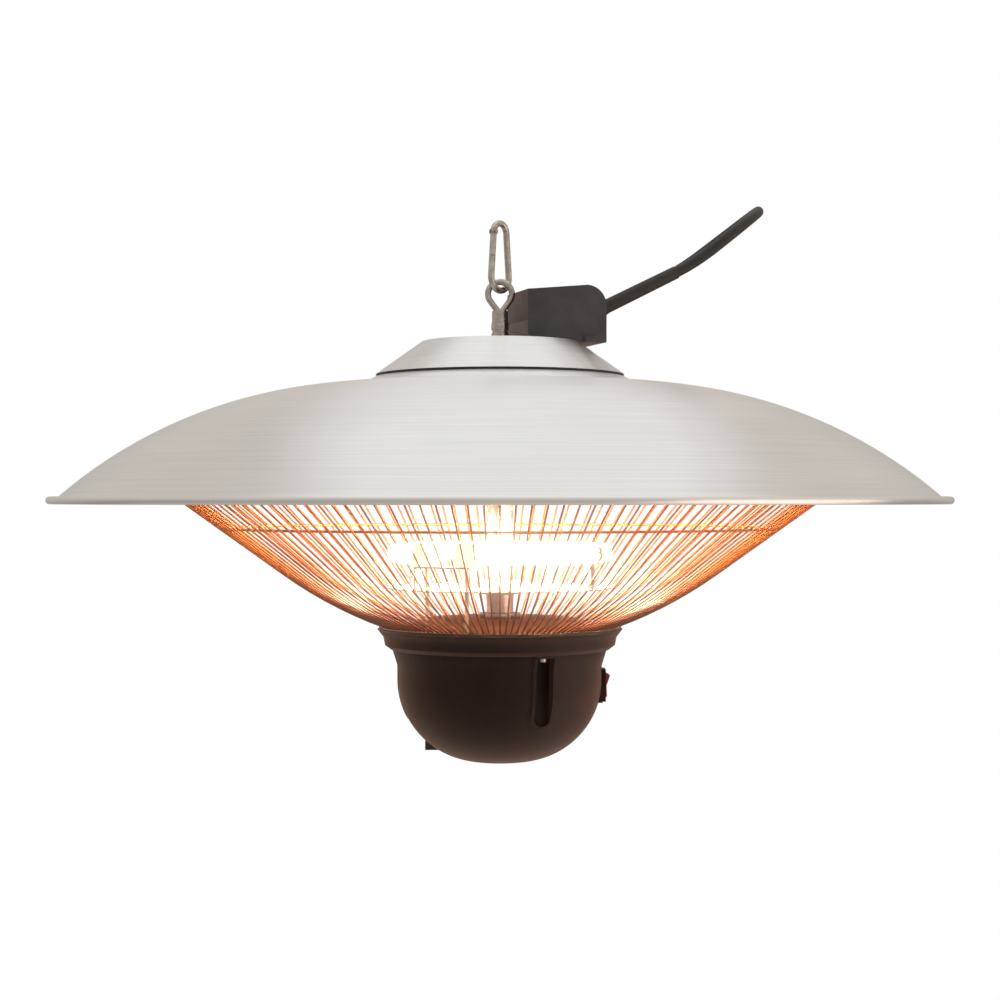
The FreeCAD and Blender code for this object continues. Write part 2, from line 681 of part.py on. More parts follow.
def grille_screws():
    seat = FLANGE_Z + REFLECTOR_SHEET
    screw = headed(GRILLE_SCREW, FLANGE_Z - TOP_RING_HEIGHT, seat,
                   GRILLE_SCREW_HEAD, seat, seat + GRILLE_SCREW_HEAD_HEIGHT, TOP_RING_RADIUS, 0)
    return around(screw, GRILLE_SCREW_COUNT, grille_screw_turn())


def grille_bottom_ring():
    outer = GRILLE_END_RADIUS + BOTTOM_RING_WIDTH / 2
    return washer(outer, outer - BOTTOM_RING_WIDTH, BOTTOM_RING_HEIGHT, LEDGE_Z)


def grille_slope():
    return Vector(-math.cos(math.radians(GRILLE_SLOPE)), 0, -math.sin(math.radians(GRILLE_SLOPE)))


def grille_top_end():
    """Centre of a wire's upper end, just under the top ring."""
    drop = GRILLE_WIRE / 2 * math.cos(math.radians(GRILLE_SLOPE)) + WELD_GAP
    return Vector(GRILLE_TOP_RADIUS, 0, FLANGE_Z - TOP_RING_HEIGHT - drop)


def grille_wires():
    top = grille_top_end()
    slope = grille_slope()
    knee = top + slope * ((GRILLE_KNEE_RADIUS - GRILLE_TOP_RADIUS) / slope.x)
    lift = GRILLE_WIRE / 2 * math.cos(math.radians(GRILLE_END_SLOPE)) + WELD_GAP
    end = Vector(GRILLE_END_RADIUS, 0, LEDGE_Z + BOTTOM_RING_HEIGHT + lift)
    wire = pipe([line(top, knee), arc_from(knee, slope, end)], GRILLE_WIRE / 2)
    return around(wire, GRILLE_WIRE_COUNT)


def grille_hoop():
    """Ring welded inside the wires, square to their slope."""
    slope = grille_slope()
    inward = Vector(slope.z, 0, -slope.x)
    aside = (GRILLE_WIRE + HOOP_WIRE) / 2 + WELD_GAP
    top = grille_top_end() + inward * aside
    centre = top + slope * ((HOOP_RADIUS - top.x) / slope.x)
    return Part.makeTorus(HOOP_RADIUS, HOOP_WIRE / 2, Vector(0, 0, centre.z), UP)


# Ring lamp

LAMP_START = LAMP_GAP_TURN + LAMP_GAP / 2
LAMP_SWEEP = 360.0 - LAMP_GAP
SADDLE_TOP = LAMP_Z - END_CAP / 2


def lamp_section(radius):
    return Part.Wire(Part.Circle(Vector(LAMP_RADIUS, 0, LAMP_Z), BACKWARD, radius).toShape())


def lamp_tube():
    glass = Part.Face(lamp_section(LAMP_TUBE / 2)).cut(Part.Face(lamp_section(LAMP_TUBE / 2 - LAMP_GLASS)))
    return turned(glass.Faces[0].revolve(ORIGIN, UP, LAMP_SWEEP), LAMP_START)


def lamp_filament():
    return turned(Part.Face(lamp_section(FILAMENT / 2)).revolve(ORIGIN, UP, LAMP_SWEEP), LAMP_START)


def end_cap_places(shape):
    """A shape drawn at the lamp's first end and mirrored to its last end."""
    first = turned(shape.mirror(ORIGIN, BACKWARD), LAMP_START)
    last = turned(shape, LAMP_START + LAMP_SWEEP)
    return [first, last]


def lamp_end_caps():
    cap = block(END_CAP, END_CAP_LENGTH, END_CAP, LAMP_RADIUS, END_CAP_LENGTH / 2, SADDLE_TOP)
    return end_cap_places(cap)


def lead_at(radius, top, bottom):
    return end_cap_places(cylinder(radius, top - bottom, LAMP_RADIUS, END_CAP_LENGTH / 2, bottom))


def lamp_leads():
    return lead_at(LEAD / 2, SADDLE_TOP, COVER_UNDER - LEAD_TAIL)


def lead_holes(top, bottom):
    return lead_at(LEAD / 2 + HOLE_CLEARANCE, top, bottom)


def lamp_bracket():
    """Saddle under both end caps, on two legs that stand on the lower plate."""
    span = 2 * LAMP_RADIUS * math.sin(math.radians(LAMP_GAP / 2))
    top = block(SADDLE_DEPTH, span, SADDLE_SHEET, LAMP_RADIUS, 0, SADDLE_TOP - SADDLE_SHEET)
    leg_height = SADDLE_TOP - PLATE_TOP
    for side in (-1, 1):
        leg_y = side * (span - SADDLE_SHEET) / 2
        top = top.fuse(block(SADDLE_DEPTH, SADDLE_SHEET, leg_height, LAMP_RADIUS, leg_y, PLATE_TOP))
    saddle = turned(top.removeSplitter(), LAMP_GAP_TURN)
    return saddle.cut(lead_holes(SADDLE_TOP, PLATE_TOP))


def lamp_clips():
    inner = LAMP_TUBE / 2 + HOLE_CLEARANCE
    outer = inner + CLIP_SHEET
    along = BACKWARD
    grip = cylinder(outer, CLIP_WIDTH, LAMP_RADIUS, -CLIP_WIDTH / 2, LAMP_Z, along)
    leg = block(CLIP_SHEET, CLIP_WIDTH, LAMP_Z - inner - PLATE_TOP, LAMP_RADIUS, 0, PLATE_TOP)
    clip = grip.fuse(leg).removeSplitter()
    clip = clip.cut(cylinder(inner, CLIP_WIDTH, LAMP_RADIUS, -CLIP_WIDTH / 2, LAMP_Z, along))
    mouth = block(2 * outer * SIN_45, CLIP_WIDTH, outer, LAMP_RADIUS, 0, LAMP_Z + inner * SIN_45)
    return [turned(clip.cut(mouth), angle) for angle in CLIP_TURNS]


def lower_plate():
    plate = washer(PLATE_RADIUS, COLUMN_HOLE, PLATE_SHEET, PLATE_UNDER)
    return plate.cut(lead_holes(PLATE_TOP, PLATE_UNDER))


# Bowl cover, bowl and what they hold

def bowl_screw_places(shape):
    return around(shape, BOWL_SCREW_COUNT, BOWL_SCREW_TURN)


def bowl_cover():
    bottom = COLLAR_FOOT
    shell = revolved([
        (COLUMN_HOLE, COVER_TOP), (COVER_TOP_RADIUS, COVER_TOP), (COVER_LEDGE_RADIUS, LEDGE_Z),
        (COVER_RADIUS, LEDGE_Z), (COLLAR_WAIST_RADIUS, RIM - COLLAR_WAIST_DROP),
        (COLLAR_RADIUS, RIM - COLLAR_STEP_DROP), (COLLAR_FOOT_RADIUS, bottom),
        (COLLAR_FOOT_RADIUS - COVER_WALL, bottom), (COLLAR_RADIUS - COVER_WALL, RIM - COLLAR_STEP_DROP),
        (COVER_LEDGE_RADIUS - COVER_WALL, LEDGE_Z - COVER_WALL), (COVER_TOP_RADIUS, COVER_UNDER),
        (COLUMN_HOLE, COVER_UNDER)])
    boss_bottom = COLLAR_FOOT
    boss = cylinder(BOSS / 2, COVER_UNDER - boss_bottom, BOWL_SCREW_CIRCLE, 0, boss_bottom)
    outside = revolved([(0, COVER_TOP), (COVER_TOP_RADIUS, COVER_TOP), (COVER_LEDGE_RADIUS, LEDGE_Z),
                        (COVER_LEDGE_RADIUS, boss_bottom), (0, boss_bottom)])
    shell = shell.fuse([piece.common(outside) for piece in bowl_screw_places(boss)]).removeSplitter()
    bore = cylinder(BOWL_SCREW / 2 + RUNNING_FIT, bowl_screw_length(), BOWL_SCREW_CIRCLE, 0, boss_bottom)
    shell = shell.cut(bowl_screw_places(bore))
    return shell.cut(lead_holes(COVER_TOP, COVER_UNDER - LEAD_TAIL))


def bowl_screw_length():
    """Thread in the cover's boss."""
    return 3 * BOWL_SCREW


def bowl_profile(inset):
    bend = BOWL_BEND - inset
    centre_radius = BOWL_RADIUS - BOWL_BEND
    centre_height = BOWL_BOTTOM + BOWL_BEND
    lower = (centre_radius + bend * SIN_45, centre_height - bend * SIN_45)
    return revolved([
        (0, COLLAR_FOOT), (BOWL_RIM_RADIUS - inset, COLLAR_FOOT),
        (BOWL_RADIUS - inset, RIM - BOWL_SHOULDER_DROP), (BOWL_RADIUS - inset, centre_height),
        (lower, (centre_radius, BOWL_BOTTOM + inset)), (0, BOWL_BOTTOM + inset)])


def pocket(radius, top):
    """Upright channel of the bowl's screw, open outwards, with a round lower end."""
    end = Vector(BOWL_SCREW_CIRCLE, 0, COLLAR_FOOT - POCKET_DEPTH + POCKET_WIDTH / 2)
    back = cylinder(radius, top - end.z, end.x, 0, end.z)
    mouth = block(BOWL_RIM_RADIUS, 2 * radius, top - end.z, end.x + BOWL_RIM_RADIUS / 2, 0, end.z)
    round_end = Part.makeCylinder(radius, BOWL_RIM_RADIUS, end, Vector(1, 0, 0))
    return back.fuse([mouth, round_end, Part.makeSphere(radius, end)]).removeSplitter()


def switch_cutout(height, width, start, end):
    return Part.makeBox(end - start, width, height, Vector(start, -width / 2, SWITCH_Z - height / 2))


def receiver_block(clearance):
    low = BOWL_BOTTOM + RECEIVER_LIFT - clearance
    length = RECEIVER_LENGTH + 2 * clearance
    return block(length, RECEIVER_WIDTH + 2 * clearance, RECEIVER_HEIGHT + 2 * clearance,
                 -RECEIVER_REACH + RECEIVER_LENGTH / 2, 0, low)


def bowl():
    outside = bowl_profile(0.0)
    shell = outside.cut(bowl_profile(BOWL_WALL))
    jackets = bowl_screw_places(pocket(POCKET_WIDTH / 2 + POCKET_WALL, COLLAR_FOOT))
    pad_start = BOWL_RADIUS - 2 * BOWL_WALL
    pad = switch_cutout(SWITCH_PAD_HEIGHT, SWITCH_PAD_WIDTH, pad_start, SWITCH_PAD_FACE)
    proud = bowl_profile(-POCKET_RIM)
    shell = shell.fuse([jacket.common(proud) for jacket in jackets]).fuse(pad).removeSplitter()
    channel = pocket(POCKET_WIDTH / 2, COLLAR_FOOT - POCKET_CEILING)
    shell = shell.cut(bowl_screw_places(channel))
    hole = cylinder(BOWL_SCREW / 2 + HOLE_CLEARANCE, POCKET_CEILING, BOWL_SCREW_CIRCLE, 0,
                    COLLAR_FOOT - POCKET_CEILING)
    shell = shell.cut(bowl_screw_places(hole))
    shell = shell.cut(switch_cutout(SWITCH_BODY_HEIGHT + 2 * HOLE_CLEARANCE,
                                    SWITCH_BODY_WIDTH + 2 * HOLE_CLEARANCE,
                                    SWITCH_BACK - HOLE_CLEARANCE, SWITCH_PAD_FACE))
    return shell.cut(receiver_block(HOLE_CLEARANCE))


def bowl_screws():
    ceiling = COLLAR_FOOT - POCKET_CEILING
    screw = headed(BOWL_SCREW, ceiling, ceiling + POCKET_CEILING + bowl_screw_length(),
                   BOWL_SCREW_HEAD, ceiling - BOWL_SCREW_HEAD_HEIGHT, ceiling, BOWL_SCREW_CIRCLE, 0)
    return bowl_screw_places(screw)


def receiver_window():
    return receiver_block(0.0)


# Rocker switch

BEZEL_FACE = SWITCH_PAD_FACE + BEZEL
ROCKER_X = BEZEL_FACE - ROCKER_SINK
SWITCH_BACK = SWITCH_PAD_FACE - SWITCH_BODY_DEPTH
TERMINAL_END = SWITCH_BACK - TERMINAL_LENGTH


def switch_housing():
    bezel = switch_cutout(BEZEL_HEIGHT, BEZEL_WIDTH, SWITCH_PAD_FACE, BEZEL_FACE)
    body = switch_cutout(SWITCH_BODY_HEIGHT, SWITCH_BODY_WIDTH, SWITCH_BACK, SWITCH_PAD_FACE)
    well_depth = ROCKER_LENGTH / 2 + ROCKER_CLEARANCE
    well = switch_cutout(ROCKER_LENGTH + 2 * ROCKER_CLEARANCE, ROCKER_WIDTH + 2 * ROCKER_CLEARANCE,
                         ROCKER_X - well_depth, BEZEL_FACE)
    housing = bezel.fuse(body).removeSplitter().cut(well)
    return housing.cut(trunnions(TRUNNION / 2 + RUNNING_FIT, TRUNNION_LENGTH + ROCKER_CLEARANCE))


def trunnions(radius, length):
    span = ROCKER_WIDTH + 2 * length
    return cylinder(radius, span, ROCKER_X, -span / 2, SWITCH_Z, BACKWARD)


def rocker_button():
    """Rocker with round ends about its trunnions, tipped to its rest position."""
    half = ROCKER_LENGTH / 2
    crest = math.sqrt(half * half - ROCKER_CREST * ROCKER_CREST)

    def at(out, along):
        return Vector(ROCKER_X + out, -ROCKER_WIDTH / 2, SWITCH_Z + along)

    edges = [
        line(at(ROCKER_CREST, crest), at(ROCKER_VALLEY, 0)),
        line(at(ROCKER_VALLEY, 0), at(ROCKER_CREST, -crest)),
        Part.Arc(at(ROCKER_CREST, -crest), at(0, -half), at(-ROCKER_CREST, -crest)).toShape(),
        line(at(-ROCKER_CREST, -crest), at(-ROCKER_CREST, crest)),
        Part.Arc(at(-ROCKER_CREST, crest), at(0, half), at(ROCKER_CREST, crest)).toShape()]
    button = Part.Face(Part.Wire(edges)).extrude(Vector(0, ROCKER_WIDTH, 0))
    button = button.fuse(trunnions(TRUNNION / 2, TRUNNION_LENGTH)).removeSplitter()
    button.rotate(Vector(ROCKER_X, 0, SWITCH_Z), BACKWARD, ROCKER_TILT)
    return button


def terminal_places():
    return [SWITCH_Z + TERMINAL_SPACING * step for step in (-1, 0, 1)]


def switch_terminals():
    return [block(TERMINAL_LENGTH, TERMINAL_HEIGHT, TERMINAL_SHEET, SWITCH_BACK - TERMINAL_LENGTH / 2, 0,
                  z - TERMINAL_SHEET / 2) for z in terminal_places()]


def switch_wires():
    """Two wires from the terminals that turn up to the underside of the board."""
    wires = []
    board_under = BOARD_TOP - BOARD
    for row, z in enumerate(reversed(terminal_places()[:2])):
        rise_x = TERMINAL_END - SWITCH_WIRE_BEND - SWITCH_WIRE - row * 3 * SWITCH_WIRE
        start = Vector(TERMINAL_END, 0, z)
        bend = Vector(rise_x + SWITCH_WIRE_BEND, 0, z)
        corner = Vector(rise_x, 0, z + SWITCH_WIRE_BEND)
        edges = [line(start, bend), arc_from(bend, Vector(-1, 0, 0), corner),
                 line(corner, Vector(rise_x, 0, board_under))]
        wires.append(pipe(edges, SWITCH_WIRE / 2))
    return wires


# Control board

def standoff_places(shape):
    return around(shape, STANDOFF_COUNT, BOWL_SCREW_TURN)


def control_board():
    board = cylinder(BOARD_RADIUS, BOARD, z=BOARD_TOP - BOARD)
    hole = cylinder(BOARD_SCREW / 2 + HOLE_CLEARANCE, BOARD, STANDOFF_CIRCLE, 0, BOARD_TOP - BOARD)
    return board.cut(standoff_places(hole))


def board_standoffs():
    post = hexagon(STANDOFF_FLATS, COVER_UNDER - BOARD_TOP, STANDOFF_CIRCLE, 0, BOARD_TOP)
    bore = cylinder(BOARD_SCREW / 2 + RUNNING_FIT, BOARD_SCREW_LENGTH, STANDOFF_CIRCLE, 0, BOARD_TOP)
    return standoff_places(post.cut(bore))


def board_screws():
    seat = BOARD_TOP - BOARD
    screw = headed(BOARD_SCREW, seat, BOARD_TOP + BOARD_SCREW_LENGTH,
                   BOARD_SCREW_HEAD, seat - BOARD_SCREW_HEAD_HEIGHT, seat, STANDOFF_CIRCLE, 0)
    return standoff_places(screw)


def board_relay():
    return block(RELAY_LENGTH, RELAY_WIDTH, RELAY_HEIGHT, 0, RELAY_OFFSET, BOARD_TOP)


# Terminal box, drawn along X and then turned about the axis

BOX_FAR = BOX_NEAR + BOX_LENGTH
BOX_FLOOR = CAP_TOP + BOX_WALL
BOX_SPLIT_Z = CAP_TOP + BOX_SPLIT
BOX_ABOVE = CAP_TOP + 2 * BOX_FAR_HEIGHT
CORD_EXIT = Vector(BOX_FAR, 0, CAP_TOP + CORD_EXIT_HEIGHT)
CORD_AXIS = Vector(math.cos(math.radians(CORD_RISE)), 0, math.sin(math.radians(CORD_RISE)))


def box_outline(inset):
    """Side outline of the box: a sloping top with one rounded far edge."""
    near = BOX_NEAR + inset
    far = BOX_FAR - inset
    near_top = CAP_TOP + BOX_NEAR_HEIGHT - inset
    far_top = CAP_TOP + BOX_FAR_HEIGHT - inset
    bend = BOX_ROUND - inset
    side = -BOX_WIDTH / 2 + inset
    corners = [Vector(near, side, CAP_TOP), Vector(near, side, near_top), Vector(far - bend, side, far_top),
               Vector(far, side, far_top - bend), Vector(far, side, CAP_TOP)]
    middle = Vector(far - bend * (1 - SIN_45), side, far_top - bend * (1 - SIN_45))
    edges = [line(corners[0], corners[1]), line(corners[1], corners[2]),
             Part.Arc(corners[2], middle, corners[3]).toShape(), line(corners[3], corners[4]),
             line(corners[4], corners[0])]
    return Part.Face(Part.Wire(edges)).extrude(Vector(0, BOX_WIDTH - 2 * inset, 0))


def box_slab(low, high):
    return Part.makeBox(2 * BOX_FAR, 2 * BOX_WIDTH, high - low, Vector(0, -BOX_WIDTH, low))


def lid_screw_places():
    inset = LID_POST_INSET
    return [(BOX_NEAR + inset, -BOX_WIDTH / 2 + inset), (BOX_FAR - inset, BOX_WIDTH / 2 - inset)]


def at_places(places, radius, low, high):
    return [cylinder(radius, high - low, x, y, low) for x, y in places]


def box_base():
    room = box_outline(BOX_WALL).common(box_slab(BOX_FLOOR, BOX_ABOVE))
    base = box_outline(0.0).cut(room).common(box_slab(CAP_TOP, BOX_SPLIT_Z))
    base = base.fuse(at_places(lid_screw_places(), LID_POST / 2, CAP_TOP, BOX_SPLIT_Z))
    lug_y = -BOX_WIDTH / 2 - BOX_LUG_REACH / 2
    for x in (BOX_NEAR + BOX_LUG_NEAR_INSET, BOX_FAR - BOX_LUG_FAR_INSET):
        base = base.fuse(block(BOX_LUG, BOX_LUG_REACH, BOX_LUG_HEIGHT, x, lug_y, CAP_TOP))
    base = base.removeSplitter()
    base = base.cut(at_places(lid_screw_places(), LID_SCREW / 2 + RUNNING_FIT, BOX_FLOOR, BOX_SPLIT_Z))
    base = base.cut(at_places(MOUNT_SCREW_PLACES, MOUNT_SCREW / 2 + HOLE_CLEARANCE, CAP_TOP, BOX_FLOOR))
    hole = cylinder(GROMMET_WAIST / 2 + HOLE_CLEARANCE, BOX_WALL, CABLE_REACH, 0, CAP_TOP)
    return turned(base, BOX_TURN).cut(hole)


def cord_cylinder(radius, start, length):
    """Cylinder along the cord's way out, its start measured from the far wall."""
    return Part.makeCylinder(radius, length, CORD_EXIT + CORD_AXIS * start, CORD_AXIS)


def box_lid():
    upper = box_outline(0.0).common(box_slab(BOX_SPLIT_Z, BOX_ABOVE))
    shell = upper.cut(box_outline(BOX_WALL))
    posts = at_places(lid_screw_places(), LID_POST / 2, BOX_SPLIT_Z, BOX_ABOVE)
    shell = shell.fuse([post.common(upper) for post in posts]).removeSplitter()
    seat = CAP_TOP + LID_SCREW_SEAT
    shell = shell.cut(at_places(lid_screw_places(), LID_SCREW / 2 + HOLE_CLEARANCE, BOX_SPLIT_Z, seat))
    shell = shell.cut(at_places(lid_screw_places(), LID_SCREW_HEAD / 2 + HOLE_CLEARANCE, seat, BOX_ABOVE))
    reach = GLAND_INSIDE + GLAND_OUTSIDE
    return turned(shell.cut(cord_cylinder(GLAND / 2 + HOLE_CLEARANCE, -GLAND_INSIDE, reach)), BOX_TURN)


def box_lid_screws():
    seat = CAP_TOP + LID_SCREW_SEAT
    screws = [headed(LID_SCREW, BOX_FLOOR, seat, LID_SCREW_HEAD, seat, seat + LID_SCREW_HEAD_HEIGHT, x, y)
              for x, y in lid_screw_places()]
    return [turned(screw, BOX_TURN) for screw in screws]


def box_mount_screws():
    bottom = CAP_UNDER - MOUNT_NUT_HEIGHT
    head_top = BOX_FLOOR + MOUNT_SCREW_HEAD_HEIGHT
    screws = [headed(MOUNT_SCREW, bottom, BOX_FLOOR, MOUNT_SCREW_HEAD, BOX_FLOOR, head_top, x, y)
              for x, y in MOUNT_SCREW_PLACES]
    return [turned(screw, BOX_TURN) for screw in screws]


def box_mount_nuts():
    z = CAP_UNDER - MOUNT_NUT_HEIGHT
    bore = MOUNT_SCREW + 2 * RUNNING_FIT
    nuts = [nut(MOUNT_NUT_FLATS, MOUNT_NUT_HEIGHT, bore, x, y, z) for x, y in MOUNT_SCREW_PLACES]
    return [turned(one, BOX_TURN) for one in nuts]


def terminal_block():
    x, y = BLOCK_PLACE
    body = block(BLOCK_LENGTH, BLOCK_WIDTH, BLOCK_HEIGHT, x, y, BOX_FLOOR)
    spacing = BLOCK_LENGTH / BLOCK_WAYS
    for way in range(BLOCK_WAYS):
        way_x = x + spacing * (way - (BLOCK_WAYS - 1) / 2)
        middle_z = BOX_FLOOR + BLOCK_HEIGHT / 2
        hole = cylinder(BLOCK_HOLE / 2, BLOCK_WIDTH, way_x, y - BLOCK_WIDTH / 2, middle_z, BACKWARD)
        body = body.cut(hole)
    return turned(body, BOX_TURN)


def cable_grommet():
    waist_low = CAP_UNDER
    waist_high = BOX_FLOOR
    bore = CABLE / 2 + HOLE_CLEARANCE
    ring = revolved([
        (bore, waist_low - GROMMET_LIP), (GROMMET / 2, waist_low - GROMMET_LIP), (GROMMET / 2, waist_low),
        (GROMMET_WAIST / 2, waist_low), (GROMMET_WAIST / 2, waist_high), (GROMMET / 2, waist_high),
        (GROMMET / 2, waist_high + GROMMET_LIP), (bore, waist_high + GROMMET_LIP)])
    ring.translate(Vector(CABLE_REACH, 0, 0))
    return ring


def inner_cable():
    """Cable from the terminal box through the grommet and the window, down the column."""
    level = WINDOW_Z + WINDOW_HEIGHT / 2
    top = Vector(CABLE_REACH, 0, BOX_FLOOR + CABLE_RISE)
    first_bend = Vector(CABLE_REACH, 0, level + CABLE_OUTER_BEND)
    level_start = Vector(CABLE_REACH - CABLE_OUTER_BEND, 0, level)
    level_end = Vector(CABLE_INNER_BEND, 0, level)
    drop_start = Vector(0, 0, level - CABLE_INNER_BEND)
    edges = [
        line(top, first_bend), arc_from(first_bend, UP * -1.0, level_start),
        line(level_start, level_end), arc_from(level_end, Vector(-1, 0, 0), drop_start),
        line(drop_start, Vector(0, 0, COLUMN_BOTTOM - CABLE))]
    return pipe(edges, CABLE / 2)


# Cord

def cord_gland():
    return turned(cord_cylinder(GLAND / 2, -GLAND_INSIDE, GLAND_INSIDE + GLAND_OUTSIDE), BOX_TURN)


def cord_boot():
    start = CORD_EXIT + CORD_AXIS * GLAND_OUTSIDE
    return turned(Part.makeCone(BOOT_START / 2, BOOT_END / 2, BOOT_LENGTH, start, CORD_AXIS), BOX_TURN)


def on_shade(radius, azimuth):
    """Point of the shade's outer face, and the way straight out of it."""
    bend = dome_bend(SHADE_FLAT_RADIUS, SHADE_TOP, LIP_RADIUS, LIP_Z)
    lean = math.asin((radius - SHADE_FLAT_RADIUS) / bend)
    direction = Vector(math.cos(math.radians(azimuth)), math.sin(math.radians(azimuth)), 0)
    foot = direction * radius + UP * (SHADE_TOP - bend + bend * math.cos(lean))
    return foot, direction * math.sin(lean) + UP * math.cos(lean)


def coil_frame():
    """Centre of the coil's lower layer with its three directions: inward, aside and out of the shade."""
    radius = math.hypot(*COIL_PLACE)
    azimuth = math.degrees(math.atan2(COIL_PLACE[1], COIL_PLACE[0]))
    foot, outward = on_shade(radius, azimuth)
    aside = Vector(-math.sin(math.radians(azimuth)), math.cos(math.radians(azimuth)), 0)
    return foot + outward * (COIL_LIFT + CORD / 2), outward.cross(aside) * -1.0, aside, outward


def coil_point(turn):
    """Point after a number of half turns: the coil spirals in, climbs at its middle, spirals out."""
    middle = COIL_HALF_TURNS / 2
    radius = COIL_OUTER_RADIUS - COIL_PITCH / 2 * (middle - abs(turn - middle))
    climb = min(max(turn - middle + 0.5, 0.0), 1.0)
    centre, outer_way, aside, outward = coil_frame()
    angle = math.pi * (COIL_START - turn)
    flat = outer_way * math.cos(angle) + aside * math.sin(angle)
    return centre + flat * radius + outward * (COIL_PITCH * climb)


def coil_tangent(turn):
    reach = COIL_STEP / 2
    return (coil_point(turn + reach) - coil_point(turn - reach)).normalize()


def biarc(start, start_way, end, end_way):
    """Two arcs that join two points along their given ways."""
    span = end - start
    ways = start_way + end_way
    square = 2 * (1 - start_way.dot(end_way))
    middle = span.dot(ways)
    reach = (-middle + math.sqrt(middle * middle + square * span.dot(span))) / square
    joint = (start + start_way * reach + end - end_way * reach) * 0.5
    joint_way = (end - end_way * reach - start - start_way * reach).normalize()
    return [arc_from(start, start_way, joint), arc_from(joint, joint_way, end)]


def coil_edges():
    knots = [COIL_STEP * number for number in range(int(COIL_HALF_TURNS / COIL_STEP) + 1)]
    start = coil_point(knots[0])
    end = coil_point(knots[-1])
    edges = [line(start - coil_tangent(knots[0]) * CORD, start)]
    for low, high in zip(knots, knots[1:]):
        edges += biarc(coil_point(low), coil_tangent(low), coil_point(high), coil_tangent(high))
    edges.append(line(end, end + coil_tangent(knots[-1]) * CORD))
    return edges


def coil_gap():
    """Least gap between turns, measured on points half a turn or more apart."""
    per_half_turn = 24
    points = [coil_point(number / per_half_turn) for number in range(COIL_HALF_TURNS * per_half_turn + 1)]
    apart = [(one - other).Length for number, one in enumerate(points)
             for other in points[number + per_half_turn:]]
    return min(apart) - CORD


def cord_coil():
    edges = coil_edges()
    tube = pipe(edges, CORD / 2)
    report_tube("cord_coil", tube, edges, CORD / 2)
    print("least gap between coil turns", round(coil_gap(), 2))
    return tube


def cord_tie():
    """Strap round the turns of the coil at one side."""
    centre, outer_way, aside, outward = coil_frame()
    inner_radius = COIL_OUTER_RADIUS - COIL_PITCH / 4 * COIL_HALF_TURNS - CORD / 2 - TIE_CLEARANCE
    outer_radius = COIL_OUTER_RADIUS + CORD / 2 + TIE_CLEARANCE
    low = -CORD / 2 - TIE_CLEARANCE
    high = COIL_PITCH + CORD / 2 + TIE_CLEARANCE
    outside = Part.makeBox(outer_radius - inner_radius + 2 * TIE, TIE_WIDTH, high - low + 2 * TIE,
                           Vector(inner_radius - TIE, -TIE_WIDTH / 2, low - TIE))
    inside = Part.makeBox(outer_radius - inner_radius, TIE_WIDTH, high - low,
                          Vector(inner_radius, -TIE_WIDTH / 2, low))
    strap = outside.cut(inside)
    strap.rotate(ORIGIN, UP, TIE_TURN)
    lying = FreeCAD.Rotation(outer_way, aside, outward, "ZXY")
    strap.Placement = FreeCAD.Placement(centre, lying) * strap.Placement
    return strap


def route_points(places):
    """Hand-set places of a free stretch, their heights measured from the rim."""
    return [Vector(x, y, RIM + z) for x, y, z in places]


def cord_lead():
    boot_end = turned(Part.Vertex(CORD_EXIT + CORD_AXIS * (GLAND_OUTSIDE + BOOT_LENGTH)), BOX_TURN).Point
    axis = turned(Part.Vertex(CORD_AXIS), BOX_TURN).Point
    coil_start = coil_edges()[0]
    coil_way = coil_start.tangentAt(coil_start.FirstParameter)
    meet = coil_start.valueAt(coil_start.FirstParameter)
    points = [boot_end, boot_end + axis * LEAD_START_RUN] + route_points(LEAD_PLACES)
    points += [meet - coil_way * LEAD_END_RUN, meet]
    edges = rounded_route(points, "cord_lead")
    tube = pipe(edges, CORD / 2)
    report_tube("cord_lead", tube, edges, CORD / 2)
    return tube


PLUG_LENGTH = PLUG_FACE_LENGTH + PLUG_NECK_LENGTH + PLUG_BOOT_LENGTH


def plug_placement():
    """Plug lying on the shade, its pins pointing round the rim."""
    foot, outward = on_shade(PLUG_RADIUS_ON_SHADE, PLUG_AZIMUTH)
    sideways = Vector(math.sin(math.radians(PLUG_AZIMUTH)), -math.cos(math.radians(PLUG_AZIMUTH)), 0)
    downhill = outward.cross(sideways)
    ahead = sideways * math.cos(math.radians(PLUG_YAW)) + downhill * math.sin(math.radians(PLUG_YAW))
    back = foot + outward * (PLUG_FACE / 2 + PLUG_LIFT) - ahead * (PLUG_LENGTH - PLUG_FACE_LENGTH / 2)
    aside = ahead.cross(outward)
    return FreeCAD.Placement(back, FreeCAD.Rotation(aside, outward, ahead, "ZXY")), back, ahead


def placed(shape):
    copy = shape.copy()
    copy.Placement = plug_placement()[0] * copy.Placement
    return copy


def plug_body():
    neck = PLUG_BOOT_LENGTH + PLUG_NECK_LENGTH
    body = revolved([
        (0, 0), (BOOT_END / 2, 0), (PLUG_BOOT / 2, PLUG_BOOT_LENGTH), (PLUG_NECK / 2, PLUG_BOOT_LENGTH),
        (PLUG_NECK / 2, neck - PLUG_SHOULDER), (PLUG_FACE / 2, neck), (PLUG_FACE / 2, PLUG_LENGTH),
        (0, PLUG_LENGTH)])
    return placed(body)


def plug_pins():
    places = (-PLUG_PIN_SPACING / 2, PLUG_PIN_SPACING / 2)
    return [placed(cylinder(PLUG_PIN / 2, PLUG_PIN_LENGTH, x, 0, PLUG_LENGTH)) for x in places]


def cord_tail():
    coil_end = coil_edges()[-1]
    start = coil_end.valueAt(coil_end.LastParameter)
    way = coil_end.tangentAt(coil_end.LastParameter)
    back, ahead = plug_placement()[1:]
    points = [start, start + way * TAIL_RUN, back - ahead * TAIL_RUN, back]
    edges = rounded_route(points, "cord_tail")
    tube = pipe(edges, CORD / 2)
    report_tube("cord_tail", tube, edges, CORD / 2)
    return tube


